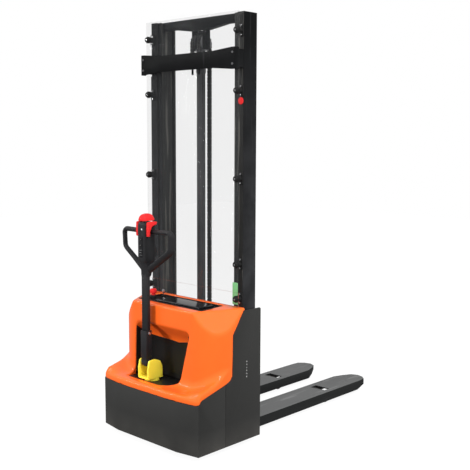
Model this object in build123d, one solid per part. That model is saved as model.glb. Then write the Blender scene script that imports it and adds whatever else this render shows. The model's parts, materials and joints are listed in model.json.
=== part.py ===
"""Walkie stacker: pedestrian pallet stacker with a duplex mast.

Frame: +Z up, X across the truck (0 on its centre plane), +Y towards the fork
tips. The origin is on the floor under the centre of the truck's outline.
While modelling, Y is counted from the front face of the skirt; every node is
shifted by -LENGTH / 2 when it is written.
"""
from build123d import *
import math
import os

# ---- driving dimensions (mm) ----
LENGTH = 1708.0            # skirt front face to fork tips
CHASSIS_HALF = 387.0       # half the chassis width
CORNER_X = 242.0           # where the skirt front turns into its corner facet
CORNER_Y = 25.0            # depth of that facet
SKIRT_Z = 33.0             # ground clearance under the skirt
SKIRT_TOP = 305.0          # joint between skirt and hood at the front
PANEL_Y = (226.0, 502.0)   # side panels, front and rear edge
PANEL_TOP = 757.0
PLATE = 6.0                # skirt and side panel plate

HOOD_FACE_Y = 118.0        # upright front face of the hood
HOOD_BACK_Y = 373.0
HOOD_TOP = 768.0
HOOD_SKIN = 5.0
HOOD_CORNER_R = 168.0      # plan radius of the hood's front corners
LEDGE_TOP = 345.0          # shelf round the foot of the hood
STOP = (-230.0, 262.0)     # emergency stop and key, X and Y
KEY = (-205.0, 318.0)

MAST_TOP = 2330.0
MAST_BOTTOM = 50.0
OUTER_X = (318.0, 366.0)   # outer upright, inner and outer face
OUTER_Y = (379.0, 481.0)
INNER_X = (290.0, 316.0)   # inner upright
INNER_Y = (388.0, 500.0)
WEB = 12.0                 # web of either upright
FLANGE = 14.0
MAST_MID_Y = 430.0
INNER_BOTTOM = 76.0

CYL_Y = 424.0              # lift cylinder and chain sheaves
CYL_R = 24.0
ROD_R = 16.0
CYL_TOP = 2066.0
SHEAVE_R = 40.0
SHEAVE_Z = 2195.0
CHAIN_X = 25.0             # each leaf chain from the centre plane
CHAIN_W = 16.0
CHAIN_T = 11.0
CARRIAGE_ANCHOR_Z = 436.0

TIE_Y = (305.0, 311.0)     # upper cross plate, proud of the mast
TIE_HALF = 370.0
TIE_MID_Z = (2043.0, 2132.0)
TIE_END_Z = (2031.0, 2144.0)
GUARD_Y = (341.0, 345.0)
GUARD_HALF = 366.0
GUARD_JOINT = 855.0
CLIP_Z = (1006.0, 1463.0, 1923.0, 2233.0)

FORK_OUT = 287.0           # outer and inner edge of each fork
FORK_IN = 107.0
FORK_TOP = 84.0
FORK_BOTTOM = 26.0
FORK_HEEL_Y = 558.0        # front face of the shank: blade 1150 long
FORK_SKIN = 7.0
SLOT_X = (145.0, 249.0)
SLOT_Y = (1266.0, 1322.0)
ROLLER_R = 37.0
ROLLER_Y = 1294.0
LEG_X = (120.0, 272.0)
LEG_Z = (24.0, 70.0)

STEER = (-85.0, 120.0)     # steering axis, X and Y
WHEEL_R = 105.0
WHEEL_W = 60.0
DECK_Z = (286.0, 298.0)    # drive unit deck inside the chassis
WELL_X = (-225.0, 158.0)   # recess in the hood's face, left and right
WELL_BACK_Y = 212.0
WELL_FLOOR_Z = 340.0
WELL_TOP_Z = 627.0

PIVOT_Y = 88.0             # tiller pivot pin
PIVOT_Z = 440.0
PIN_R = 11.9
TUBE_Y = 82.0
SLEEVE_TOP = 620.0
TUBE_TOP = 935.0
HEAD_X = (-116.0, -54.0)
HEAD_Y = (50.0, 124.0)
HEAD_Z = (1000.0, 1226.0)
LOOP_Y = 98.0              # plane of the handle loops
LOOP_TUBE_R = 14.0
LOOP_TOP_Z = 1172.0
LOOP_REACH = 199.0         # tube centre to the tiller centre plane
LOOP_FOOT_Z = 962.0
THROTTLE_Y = 68.0
THROTTLE_Z = 1186.0
BUTTON_Z = {"lift_button": 1128.0, "lower_button": 1096.0}

CASTER = (300.0, 80.0)     # swivel axis of each stabiliser caster, |X| and Y
CASTER_R = 37.5
CASTER_TRAIL = 20.0

os.makedirs("parts", exist_ok=True)
nodes = {}


# ---- helpers ----
def block(x, y, z):
    """Box from three (low, high) pairs."""
    size = (x[1] - x[0], y[1] - y[0], z[1] - z[0])
    centre = ((x[0] + x[1]) / 2, (y[0] + y[1]) / 2, (z[0] + z[1]) / 2)
    return Pos(*centre) * Box(*size)


def rod_z(x, y, z, r):
    return Pos(x, y, (z[0] + z[1]) / 2) * Cylinder(r, z[1] - z[0])


def rod_x(x, y, z, r):
    return Pos((x[0] + x[1]) / 2, y, z) * Rot(0, 90, 0) * Cylinder(r, x[1] - x[0])


def rod_y(x, y, z, r):
    return Pos(x, (y[0] + y[1]) / 2, z) * Rot(90, 0, 0) * Cylinder(r, y[1] - y[0])


def prism_z(points, z):
    """Plan outline (X, Y) raised between two heights."""
    face = make_face(Polyline(*points, close=True))
    return extrude(Pos(0, 0, z[0]) * face, amount=z[1] - z[0], dir=(0, 0, 1))


def prism_x(points, x):
    """Side outline (Y, Z) extended between two X values."""
    corners = [(x[0], y, z) for y, z in points]
    face = make_face(Polyline(*corners, close=True))
    return extrude(face, amount=x[1] - x[0], dir=(1, 0, 0))


def prism_y(points, y):
    """Front outline (X, Z) extended between two Y values."""
    corners = [(px, y[0], pz) for px, pz in points]
    face = make_face(Polyline(*corners, close=True))
    return extrude(face, amount=y[1] - y[0], dir=(0, 1, 0))


def both(shape):
    """The shape and its mirror image across the truck's centre plane."""
    return [shape, mirror(shape, Plane.YZ)]


def fuse(shapes):
    result = shapes[0]
    for shape in shapes[1:]:
        result = result + shape
    return result


def keep(name, *shapes):
    nodes[name] = Compound(children=[s for shape in shapes for s in shape.solids()])


# ---- chassis: skirt, side panels and frame ----
def skirt_plan(inset):
    """Half-open plan of the skirt, as a closed outline inset from the plate's face."""
    side = CHASSIS_HALF - inset
    turn = inset * 0.09
    back = PANEL_Y[0] - 1.0
    right = [(side, back), (side, CORNER_Y + inset * 0.9), (CORNER_X - turn, inset)]
    left = [(-x, y) for x, y in reversed(right)]
    return right + left


def joint_line(y):
    """Height of the joint between skirt and hood at depth y: level, a short rise, then a slope."""
    knee, end = 48.0, PANEL_Y[0]
    if y <= CORNER_Y:
        return SKIRT_TOP
    if y <= knee:
        return SKIRT_TOP + 25.0 * (y - CORNER_Y) / (knee - CORNER_Y)
    return SKIRT_TOP + 25.0 + 46.0 * (y - knee) / (end - knee)


JOINT_Y = (CORNER_Y, 48.0, PANEL_Y[0])


def front_skirt():
    outer = prism_z(skirt_plan(0), (SKIRT_Z, 400))
    inner = prism_z(skirt_plan(PLATE), (SKIRT_Z - 5, 405))
    back = PANEL_Y[0]
    line = [(y, joint_line(y)) for y in JOINT_Y]
    above = prism_x([(-5, SKIRT_TOP)] + line + [(back, 420), (-5, 420)], (-400, 400))
    open_back = block((-CHASSIS_HALF + PLATE, CHASSIS_HALF - PLATE), (back - 8, back + 5), (0, 420))
    keep("front_skirt", outer - inner - above - open_back)


def side_panels():
    front, rear = PANEL_Y
    outline = [(front, SKIRT_Z), (rear, SKIRT_Z), (rear, PANEL_TOP - 10), (rear - 3, PANEL_TOP - 3),
               (rear - 10, PANEL_TOP), (366, PANEL_TOP), (284, 636), (279, 415), (262, 392),
               (front, 376)]
    plate = prism_x(outline, (CHASSIS_HALF - PLATE, CHASSIS_HALF))
    hem = block((346, CHASSIS_HALF - PLATE), (rear - 16, rear - 12), (SKIRT_Z + 5, PANEL_TOP - 14))
    left, right = both(plate + hem)[1], plate + hem
    keep("side_panel_left", left)
    keep("side_panel_right", right)


def chassis_frame():
    rail_x = (366.0, CHASSIS_HALF - PLATE)
    rail = block(rail_x, (34, 485), (52, 92))
    post = block(rail_x, (340, 366), (92, 700))
    wing = block((246, rail_x[0]), (34, 118), (118, 128))
    wing_web = block(rail_x, (34, 118), (92, DECK_Z[0]))
    bulkhead = block((-366, 366), (354, 366), (52, 700))
    deck = block((-rail_x[1], rail_x[1]), (34, 354), DECK_Z)
    hole = rod_z(*STEER, (DECK_Z[0] - 5, DECK_Z[1] + 5), 66)
    parts = [bulkhead, deck - hole] + both(rail) + both(post) + both(wing) + both(wing_web)
    keep("chassis_frame", fuse(parts))


# ---- chassis: hood and what it carries ----
def hood_body_plan(inset):
    """Plan of the upright part of the hood, with large round front corners."""
    side = CHASSIS_HALF - inset
    face = HOOD_FACE_Y + inset
    r = HOOD_CORNER_R - inset
    back = HOOD_BACK_Y
    mid = r * (1 - math.sqrt(0.5))
    edges = [
        Line((side, back), (side, face + r)),
        ThreePointArc((side, face + r), (side - mid, face + mid), (side - r, face)),
        Line((side - r, face), (r - side, face)),
        ThreePointArc((r - side, face), (mid - side, face + mid), (-side, face + r)),
        Line((-side, face + r), (-side, back)),
        Line((-side, back), (side, back)),
    ]
    return make_face(Wire(edges))


def corner_cut(inset):
    """Wedge above the sloping facet at the right top corner of the hood."""
    a = Vector(279, 184, 765)
    b = Vector(387, 373, 771)
    c = Vector(387, 230, 640)
    normal = (b - a).cross(c - a).normalized()
    if normal.Z < 0:
        normal = -normal
    base = Plane(origin=a - normal * inset, z_dir=normal)
    return base * Pos(0, 0, 200) * Box(900, 900, 400)


def hood_outer(inset):
    low = SKIRT_TOP - 20
    body = extrude(Pos(0, 0, low) * hood_body_plan(inset), amount=HOOD_TOP - inset - low)
    body = body - corner_cut(inset) - mirror(corner_cut(inset), Plane.YZ)
    ledge = prism_z(skirt_plan(inset), (low, LEDGE_TOP - inset))
    side_rise = prism_x([(CORNER_Y, 310), (CORNER_Y, 345 - inset), (150, 400 - inset),
                         (PANEL_Y[0] - 1, 416 - inset), (PANEL_Y[0] - 1, 310)],
                        (CHASSIS_HALF - 40, CHASSIS_HALF - inset))
    side_rise = side_rise + mirror(side_rise, Plane.YZ)
    return body + ledge + side_rise


def well_space():
    """The recess the tiller foot stands in, open to the front."""
    x0, x1 = WELL_X
    floor = [(x0 + 11, 61), (42, 61), (154, HOOD_FACE_Y), (150, WELL_BACK_Y), (x0 + 16, WELL_BACK_Y)]
    foot = prism_z(floor, (WELL_FLOOR_Z, 404))
    side = [(HOOD_FACE_Y - 90, 400), (WELL_BACK_Y, 400), (WELL_BACK_Y, 560), (HOOD_FACE_Y, 652),
            (HOOD_FACE_Y - 90, 652)]
    upright = prism_x(side, (x0 + 10, x1))
    return foot + upright


def hood_cover():
    low = SKIRT_TOP - 25
    shell = hood_outer(0) - hood_outer(HOOD_SKIN)
    y0 = -5
    line = [(y, joint_line(y)) for y in JOINT_Y]
    under = prism_x([(y0, low), (y0, SKIRT_TOP)] + line + [
                     (279, 415), (284, 636), (366, PANEL_TOP), (420, PANEL_TOP), (420, low)],
                    (CHASSIS_HALF - 42, 420))
    below = prism_z([(-420, -5), (420, -5), (420, 420), (-420, 420)], (low - 30, SKIRT_TOP))
    shell = shell - under - mirror(under, Plane.YZ) - below
    shell = shell - block((-420, 420), (HOOD_BACK_Y - 6, 420), (low, HOOD_TOP - 12))
    shell = shell - well_space()
    tray = block((-258, 258), (174, 350), (HOOD_TOP - 20, HOOD_TOP + 5))
    keep("hood_cover", max((shell - tray).solids(), key=lambda s: s.volume))


def well_liner():
    gap = 0.4
    wall = 4.0
    x0, x1 = WELL_X[0] + 16.0, 150.0
    floor_plan = [(x0, 64), (41, 64), (146, HOOD_FACE_Y + HOOD_SKIN + gap), (146, WELL_BACK_Y + wall),
                  (x0, WELL_BACK_Y + wall)]
    floor = prism_z(floor_plan, (WELL_FLOOR_Z - 2 * wall, WELL_FLOOR_Z - wall))
    hole = rod_z(*STEER, (WELL_FLOOR_Z - 20, WELL_FLOOR_Z + 5), 52)
    back = block((x0, 146), (WELL_BACK_Y + gap, WELL_BACK_Y + wall), (WELL_FLOOR_Z - wall, 556))
    keep("well_liner", (floor - hole) + back)


def top_tray():
    rim = block((-257.6, 257.6), (174.4, 349.6), (HOOD_TOP - 16, HOOD_TOP - 1))
    dish = block((-250, 250), (181, 343), (HOOD_TOP - 12, HOOD_TOP + 5))
    keep("top_tray", rim - dish)


def battery_display():
    body = block((-150, 205), (205, 318), (HOOD_TOP - 12, HOOD_TOP + 3))
    keep("battery_display", chamfer(body.faces().sort_by(Axis.Z)[-1].edges(), 5))


def emergency_stop():
    x, y = STOP
    collar = rod_z(x, y, (HOOD_TOP - 12, HOOD_TOP + 8), 18)
    bore = rod_z(x, y, (HOOD_TOP - 5, HOOD_TOP + 9), 12)
    key_barrel = rod_z(*KEY, (HOOD_TOP - 12, HOOD_TOP + 2), 12)
    keep("switch_collars", collar - bore, key_barrel)
    stem = rod_z(x, y, (HOOD_TOP + 3, HOOD_TOP + 18), 11)
    cap = rod_z(x, y, (HOOD_TOP + 18, HOOD_TOP + 45), 20)
    keep("emergency_stop", stem + fillet(cap.faces().sort_by(Axis.Z)[-1].edges(), 8))


def power_pack():
    keep("battery_pack", *both(block((4, 340), (222, 330), (DECK_Z[1], 520))))
    tank = block((214, 352), (240, 345), (100, 238))
    pump = rod_x((62, 214), 290, 160, 46)
    keep("hydraulic_power_unit", tank + pump)


def key_switch():
    x, y = KEY
    shaft = rod_z(x, y, (HOOD_TOP + 2.3, HOOD_TOP + 10), 3)
    bow = fillet(block((x - 12, x + 12), (y - 1.5, y + 1.5), (HOOD_TOP + 10, HOOD_TOP + 36))
                 .edges().filter_by(Axis.Y), 8)
    keep("ignition_key", shaft + bow)


# ---- mast ----
def channel(x, y, z):
    """Upright with its web on the outer side and its flanges towards the centre."""
    solid = block(x, y, z)
    pocket = block((x[0] - 5, x[1] - WEB), (y[0] + FLANGE, y[1] - FLANGE), (z[0] - 5, z[1] + 5))
    return solid - pocket


def outer_mast():
    upright = channel(OUTER_X, OUTER_Y, (MAST_BOTTOM, MAST_TOP))
    long_edges = upright.edges().filter_by(Axis.Z).sort_by(Axis.X)[-2:]
    right = fillet(long_edges, 5)
    keep("outer_mast_right", right)
    keep("outer_mast_left", mirror(right, Plane.YZ))
    low = block((-364, 364), (366, 379), (72, 220))
    high = block((-364, 364), (366, 379), (560, 650))
    seat = block((-42, 42), (379, 452), (72, 84))
    keep("mast_ties_lower", low + seat, high)


def inner_mast():
    z = (INNER_BOTTOM, MAST_TOP - 1)
    right = channel(INNER_X, INNER_Y, z)
    keep("inner_mast_right", right)
    keep("inner_mast_left", mirror(right, Plane.YZ))
    outline = [(-290, MAST_TOP - 1), (-290, 2284), (-205, 2284), (-62, 2264), (62, 2264),
               (205, 2284), (290, 2284), (290, MAST_TOP - 1)]
    keep("inner_crosshead", prism_y(outline, (404, 444)))
    tie = block((-304, 304), (388, 399), (INNER_BOTTOM + 10, 170))
    pocket = block((INNER_X[0] - 0.3, 310), (380, 402), (60, 180))
    keep("inner_tie_lower", tie - pocket - mirror(pocket, Plane.YZ))
    stub = rod_x((316, 320), MAST_MID_Y, 118, 15)
    wheel = rod_x((320, 350), MAST_MID_Y, 118, 36)
    keep("inner_mast_rollers", *both(stub + wheel))


def lift_cylinder():
    barrel = rod_z(0, CYL_Y, (84, CYL_TOP - 30), CYL_R)
    gland = rod_z(0, CYL_Y, (CYL_TOP - 30, CYL_TOP), CYL_R + 3)
    bore = rod_z(0, CYL_Y, (CYL_TOP - 80, CYL_TOP + 1), ROD_R + 0.5)
    keep("lift_cylinder", barrel + gland - bore)
    keep("piston_rod", rod_z(0, CYL_Y, (CYL_TOP - 75, 2150), ROD_R))
    cheek = block((42, 50), (402, 446), (2160, 2264))
    web = block((-11, 11), (406, 442), (2150, 2264))
    pin = rod_x((11, 62), CYL_Y, SHEAVE_Z, 9)
    keep("sheave_block", fuse([web, pin, mirror(pin, Plane.YZ)] + both(cheek)))
    disc = rod_x((14, 39), CYL_Y, SHEAVE_Z, SHEAVE_R - CHAIN_T / 2 - 0.6)
    rim = rod_x((14, 16.4), CYL_Y, SHEAVE_Z, SHEAVE_R + 3)
    rim_out = rod_x((36, 38.4), CYL_Y, SHEAVE_Z, SHEAVE_R + 3)
    bore = rod_x((0, 60), CYL_Y, SHEAVE_Z, 9.05)
    keep("chain_sheaves", *both(disc + rim + rim_out - bore))


def chains():
    half = CHAIN_W / 2
    x = (CHAIN_X - half + 1, CHAIN_X + half + 1)
    front_y = CYL_Y - SHEAVE_R
    rear_y = CYL_Y + SHEAVE_R
    front = block(x, (front_y - CHAIN_T / 2, front_y + CHAIN_T / 2), (2084, SHEAVE_Z))
    rear = block(x, (rear_y - CHAIN_T / 2, rear_y + CHAIN_T / 2), (CARRIAGE_ANCHOR_Z + 30, SHEAVE_Z))
    keep("chain_front_runs", *both(front))
    keep("chain_rear_runs", *both(rear))
    shelf = block((-60, 60), (TIE_Y[1], 395), (2060, 2072))
    bolt = rod_z(CHAIN_X + 1, front_y, (2022, 2083), 6)
    keep("chain_anchor_bracket", fuse([shelf] + both(bolt)))


def mast_tie_upper():
    lo, hi = TIE_MID_Z
    lo_end, hi_end = TIE_END_Z
    outline = [(-TIE_HALF, lo_end), (-345, lo_end), (-205, lo), (205, lo), (345, lo_end),
               (TIE_HALF, lo_end), (TIE_HALF, hi_end), (345, hi_end), (205, hi), (-205, hi),
               (-345, hi_end), (-TIE_HALF, hi_end)]
    plate = prism_y(outline, TIE_Y)
    flange = block((TIE_HALF - PLATE, TIE_HALF), (TIE_Y[1], 338), TIE_END_Z)
    arm = block((338, 364), (TIE_Y[1], OUTER_Y[0]), (2040, 2136))
    keep("mast_tie_upper", fuse([plate] + both(flange) + both(arm)))


def mast_guard():
    sheet = block((-GUARD_HALF, GUARD_HALF), GUARD_Y, (GUARD_JOINT + 0.5, MAST_TOP))
    notch = block((334, 372), (330, 350), (2034, 2142))
    slot = block((-62, 62), (330, 350), (2056, 2076))
    keep("mast_guard_upper", sheet - notch - mirror(notch, Plane.YZ) - slot)
    lower = block((-GUARD_HALF, GUARD_HALF), GUARD_Y, (HOOD_TOP + 8, GUARD_JOINT - 0.5))
    keep("mast_guard_lower", lower)
    clips = []
    for z in CLIP_Z + (818.0,):
        stem = rod_y(350, (GUARD_Y[1], OUTER_Y[0]), z, 9)
        foot = block((336, 364), (OUTER_Y[0] - 6, OUTER_Y[0]), (z - 22, z + 22))
        washer = rod_y(350, (GUARD_Y[1], GUARD_Y[1] + 4), z, 17)
        cap = rod_y(350, (GUARD_Y[0] - 5, GUARD_Y[0]), z, 16)
        clips += both(fuse([stem, foot, washer])) + both(cap)
    keep("guard_clips", *clips)


def mast_trim():
    keep("mast_cable", rod_z(-OUTER_X[1] - 6.2, OUTER_Y[0] + 10, (PANEL_TOP - 60, TIE_END_Z[0] - 1), 6))


# ---- legs, carriage and forks ----
def support_legs():
    x0, x1 = LEG_X
    beam = block(LEG_X, (366, 1372), LEG_Z)
    hollow = block((x0 + 8, x1 - 8), (366, 1250), (LEG_Z[0] - 5, LEG_Z[1] - 8))
    fork_end = block((SLOT_X[0] - 2, SLOT_X[1] + 2), (ROLLER_Y - 42, 1380), (0, 90))
    axle = rod_x((x0 + 2, x1 - 2), ROLLER_Y, ROLLER_R, 8)
    outrigger = block((x0, 381), (440, 478), (34, 50))
    right = beam - hollow - fork_end + axle + outrigger
    keep("support_leg_right", right)
    keep("support_leg_left", mirror(right, Plane.YZ))
    roller = rod_x((SLOT_X[0] + 2, SLOT_X[1] - 2), ROLLER_Y, ROLLER_R, ROLLER_R)
    roller = chamfer(roller.edges(), 2) - rod_x((100, 300), ROLLER_Y, ROLLER_R, 8.05)
    keep("load_roller_right", roller)
    keep("load_roller_left", mirror(roller, Plane.YZ))


def fork_outline(inset):
    """Plan of a fork blade with its tapered, rounded nose."""
    i = inset
    a = [(FORK_OUT - i, 496), (FORK_OUT - i, 1604), (282 - i, 1663), (250 - i * 0.6, 1694 - i),
         (203, 1708 - i), (160 + i * 0.8, 1688 - i), (131 + i, 1632), (FORK_IN + i, 1564),
         (FORK_IN + i, 496)]
    return a


def forks():
    blade = prism_z(fork_outline(0), (FORK_BOTTOM, FORK_TOP))
    cavity = prism_z([(FORK_IN + FORK_SKIN, 480), (FORK_OUT - FORK_SKIN, 480),
                      (FORK_OUT - FORK_SKIN, 1580), (250, 1640), (160, 1640),
                      (FORK_IN + FORK_SKIN, 1560)],
                     (FORK_BOTTOM - 5, FORK_TOP - FORK_SKIN))
    bevel = prism_x([(1586, 0), (1586, FORK_BOTTOM + 1), (1715, 62), (1720, 0)], (90, 300))
    slot = block(SLOT_X, SLOT_Y, (60, 100))
    shank = block((FORK_IN + 20, FORK_OUT - 20), (502, 530), (FORK_TOP - 1, 430))
    gusset = prism_x([(530, FORK_TOP - 1), (FORK_HEEL_Y, FORK_TOP - 1), (530, 240)], (180, 214))
    right = blade - cavity - bevel - slot + shank + gusset
    keep("fork_right", right)
    keep("fork_left", mirror(right, Plane.YZ))


def carriage():
    side = block((268, 280), (400, 501.5), (96, 500))
    upper = block((-280, 280), (484, 501.5), (360, 470))
    lower = block((-280, 280), (484, 501.5), (96, 190))
    anchor = block((-44, 44), (457, 484), (CARRIAGE_ANCHOR_Z - 16, CARRIAGE_ANCHOR_Z))
    bolt = rod_z(CHAIN_X + 1, CYL_Y + SHEAVE_R, (CARRIAGE_ANCHOR_Z, CARRIAGE_ANCHOR_Z + 29), 5)
    keep("carriage_frame", fuse([upper, lower, anchor] + both(side) + both(bolt)))
    rollers = []
    middle = (INNER_Y[0] + INNER_Y[1]) / 2
    for z in (140.0, 456.0):
        stub = rod_x((280, 283), middle, z, 13)
        wheel = rod_x((283, 302), middle, z, 41)
        rollers += both(stub + wheel)
    keep("carriage_rollers", *rollers)


# ---- drive unit and tiller ----
def drive_unit():
    x, y = STEER
    half = WHEEL_W / 2
    arm = block((x - half - 18, x - half - 3), (y - 34, y + 34), (72, 214))
    head = rod_z(x, y, (212, 226), 60)
    axle = rod_x((x - half - 3, x + half - 4), y, WHEEL_R, 12)
    keep("drive_gearbox", fuse([arm, head, axle]))
    wheel = rod_x((x - half, x + half), y, WHEEL_R, WHEEL_R)
    keep("drive_wheel", chamfer(wheel.edges(), 4) - rod_x((x - 60, x + 60), y, WHEEL_R, 12.05))
    motor = rod_z(x, y, (226, 322), 54)
    bearing = rod_z(x, y, (DECK_Z[1] + 0.5, DECK_Z[1] + 12), 76)
    keep("drive_motor", motor + bearing)


def tiller_yoke():
    x, y = STEER
    base = rod_z(x, y, (322, 352), 42) + block((x - 43, x + 43), (70, 170), (348, 360))
    outline = [(62, 356), (170, 356), (168, 455), (145, 478), (100, 470), (75, 458), (62, 436)]
    cheek = prism_x(outline, (x + 33, x + 43))
    other = prism_x(outline, (x - 43, x - 33))
    bore = rod_x((x - 60, x + 60), PIVOT_Y, PIVOT_Z, PIN_R)
    keep("tiller_yoke", fuse([base, cheek, other]) - bore)
    keep("tiller_pivot_pin", rod_x((x - 47, x + 47), PIVOT_Y, PIVOT_Z, PIN_R))
    springs = []
    for low, high in ((x - 32.5, x - 21.5), (x + 21.5, x + 32.5)):
        coil = rod_x((low, high), PIVOT_Y, PIVOT_Z, 20) - rod_x((low - 1, high + 1), PIVOT_Y, PIVOT_Z, 13)
        springs.append(coil)
    keep("tiller_return_springs", *springs)


def tiller_arm():
    x = STEER[0]
    box = block((x - 25, x + 25), (TUBE_Y - 23, TUBE_Y + 23), (PIVOT_Z + 28, SLEEVE_TOP))
    box = fillet(box.edges().filter_by(Axis.Z), 8)
    lug = rod_x((x - 20, x + 20), PIVOT_Y, PIVOT_Z, 25) + block(
        (x - 20, x + 20), (PIVOT_Y - 24, PIVOT_Y + 14), (PIVOT_Z, PIVOT_Z + 30))
    bore = rod_x((x - 60, x + 60), PIVOT_Y, PIVOT_Z, PIN_R + 0.06)
    socket = block((x - 21, x + 21), (TUBE_Y - 13, TUBE_Y + 13), (520, SLEEVE_TOP + 1))
    keep("tiller_sleeve", box + lug - bore - socket)
    tube = block((x - 20.8, x + 20.8), (TUBE_Y - 12.8, TUBE_Y + 12.8), (521, SLEEVE_TOP + 1))
    upper = block((x - 25, x + 25), (TUBE_Y - 15, TUBE_Y + 15), (SLEEVE_TOP + 0.5, TUBE_TOP))
    upper = fillet(upper.edges().filter_by(Axis.Z), 12)
    keep("tiller_tube", tube + upper)
    bolt = rod_x((x + 25, x + 33), TUBE_Y, SLEEVE_TOP - 14, 8)
    keep("sleeve_bolt", bolt)


def loop_tube(side):
    """One closed handle loop's grip, from the head's side down to the neck."""
    x = STEER[0]
    reach = side * LOOP_REACH
    points = [(x + side * 24, LOOP_TOP_Z), (x + reach, LOOP_TOP_Z), (x + side * 192, 1072),
              (x + side * 20, LOOP_FOOT_Z)]
    path = FilletPolyline(*[(px, LOOP_Y, pz) for px, pz in points], radius=20)
    start = Plane(origin=path @ 0, z_dir=path % 0)
    return sweep(start * Circle(LOOP_TUBE_R), path=path)


def tiller_head():
    x = STEER[0]
    hx, hy, hz = HEAD_X, HEAD_Y, HEAD_Z
    neck = prism_x([(64, TUBE_TOP), (102, TUBE_TOP), (116, 990), (116, hz[0]), (56, hz[0]), (60, 980)],
                   (x - 27, x + 27))
    loops = [loop_tube(1), loop_tube(-1)]
    housing = block(hx, hy, hz)
    housing = fillet(housing.edges().filter_by(Axis.Z), 9)
    cavity = block((hx[0] + 7, hx[1] - 7), (hy[0] + 7, hy[1] - 7), (hz[0] + 7, hz[1] - 7))
    arm_hole = rod_x((hx[0] - 5, hx[1] + 5), LOOP_Y, LOOP_TOP_Z, LOOP_TUBE_R + 0.2)
    spindle = rod_x((hx[0] - 5, hx[1] + 5), THROTTLE_Y, THROTTLE_Z, 6.2)
    buttons = fuse([rod_y(x, (hy[0] - 5, hy[0] + 9), z, 8.3) for z in BUTTON_Z.values()])
    stem_hole = rod_z(x, 87, (hz[1] - 9, hz[1] + 5), 10.3)
    housing = housing - cavity - arm_hole - spindle - buttons - stem_hole
    keep("tiller_head", housing)
    keep("handle_loops", fuse([neck, trim(loops[0], hx[1]), trim(loops[1], hx[0])]))
    keep("throttle_wings", throttle())
    dome = block((hx[0] + 1, hx[1] - 1), (hy[0] + 1, hy[1] - 1), (hz[1] + 8, hz[1] + 44))
    dome = fillet(dome.edges().filter_by(Axis.Z), 20)
    dome = fillet(dome.faces().sort_by(Axis.Z)[-1].edges(), 18)
    keep("belly_switch", dome + rod_z(x, 87, (hz[1] - 6, hz[1] + 9), 10))
    for name, z in BUTTON_Z.items():
        cap = rod_y(x, (hy[0] - 4, hy[0] + 6), z, 8)
        keep(name, chamfer(cap.faces().sort_by(Axis.Y)[0].edges(), 1.2))


def trim(loop, wall_x):
    """Cut the loop's upper arm off at the head's side wall."""
    side = 1 if wall_x > STEER[0] else -1
    inner = (wall_x - 60, wall_x + 0.3) if side > 0 else (wall_x - 0.3, wall_x + 60)
    return loop - block(inner, (60, 140), (LOOP_TOP_Z - 60, LOOP_TOP_Z + 60))


def throttle():
    """Butterfly thumb levers on both ends of one spindle."""
    x = STEER[0]
    spindle = rod_x((HEAD_X[0] - 6, HEAD_X[1] + 6), THROTTLE_Y, THROTTLE_Z, 6)
    y, z = THROTTLE_Y, THROTTLE_Z
    outline = [(y - 24, z + 34), (y + 4, z + 36), (y + 5, z - 6), (y - 3, z - 38), (y - 16, z - 40),
               (y - 14, z)]
    wing = prism_x(outline, (HEAD_X[1] + 1, HEAD_X[1] + 26))
    other = prism_x(outline, (HEAD_X[0] - 26, HEAD_X[0] - 1))
    return fuse([spindle, wing, other])


# ---- stabiliser casters ----
def casters():
    x, y = CASTER
    plate = block((x - 34, x + 34), (y - 34, y + 34), (108, 117.5))
    cheek = prism_x([(y - 24, 110), (y + 30, 110), (y + CASTER_TRAIL + 14, 30),
                     (y + CASTER_TRAIL - 14, 30)], (x + 16, x + 20))
    other = prism_x([(y - 24, 110), (y + 30, 110), (y + CASTER_TRAIL + 14, 30),
                     (y + CASTER_TRAIL - 14, 30)], (x - 20, x - 16))
    crown = block((x - 20, x + 20), (y - 24, y + 30), (100, 108))
    axle = rod_x((x - 22, x + 22), y + CASTER_TRAIL, CASTER_R, 6)
    fork = fuse([crown + rod_z(x, y, (100, 112), 24), cheek, other, axle])
    wheel = rod_x((x - 15, x + 15), y + CASTER_TRAIL, CASTER_R, CASTER_R)
    wheel = chamfer(wheel.edges(), 2) - rod_x((x - 30, x + 30), y + CASTER_TRAIL, CASTER_R, 6.05)
    keep("caster_fork_right", fork)
    keep("caster_fork_left", mirror(fork, Plane.YZ))
    keep("caster_wheel_right", wheel)
    keep("caster_wheel_left", mirror(wheel, Plane.YZ))


for make in (front_skirt, side_panels, chassis_frame, hood_cover, well_liner, top_tray, battery_display,
             emergency_stop, power_pack, key_switch, outer_mast, inner_mast, lift_cylinder, chains,
             mast_tie_upper, mast_guard, mast_trim, support_legs, forks, carriage, drive_unit,
             tiller_yoke, tiller_arm, tiller_head, casters):
    make()

for name, shape in nodes.items():
    export_step(Pos(0, -LENGTH / 2, 0) * shape, f"parts/{name}.step")
print(len(nodes), "nodes")
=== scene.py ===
# %% [markdown]
# # A walkie stacker, dressed over its engineering model
# The engineering model arrives as a fixed frame: every node is where it belongs, in metres, with +Z up and
# +Y towards the fork tips. This lesson keeps that frame, gives each node a worked-out finish, and replaces
# the nodes whose real skin is curved: the moulded hood, the tiller head, its grips and the lift chains.

# %% Load the frame
import bpy
import bmesh
import json
import math
import numpy as np
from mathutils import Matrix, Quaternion, Vector


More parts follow.
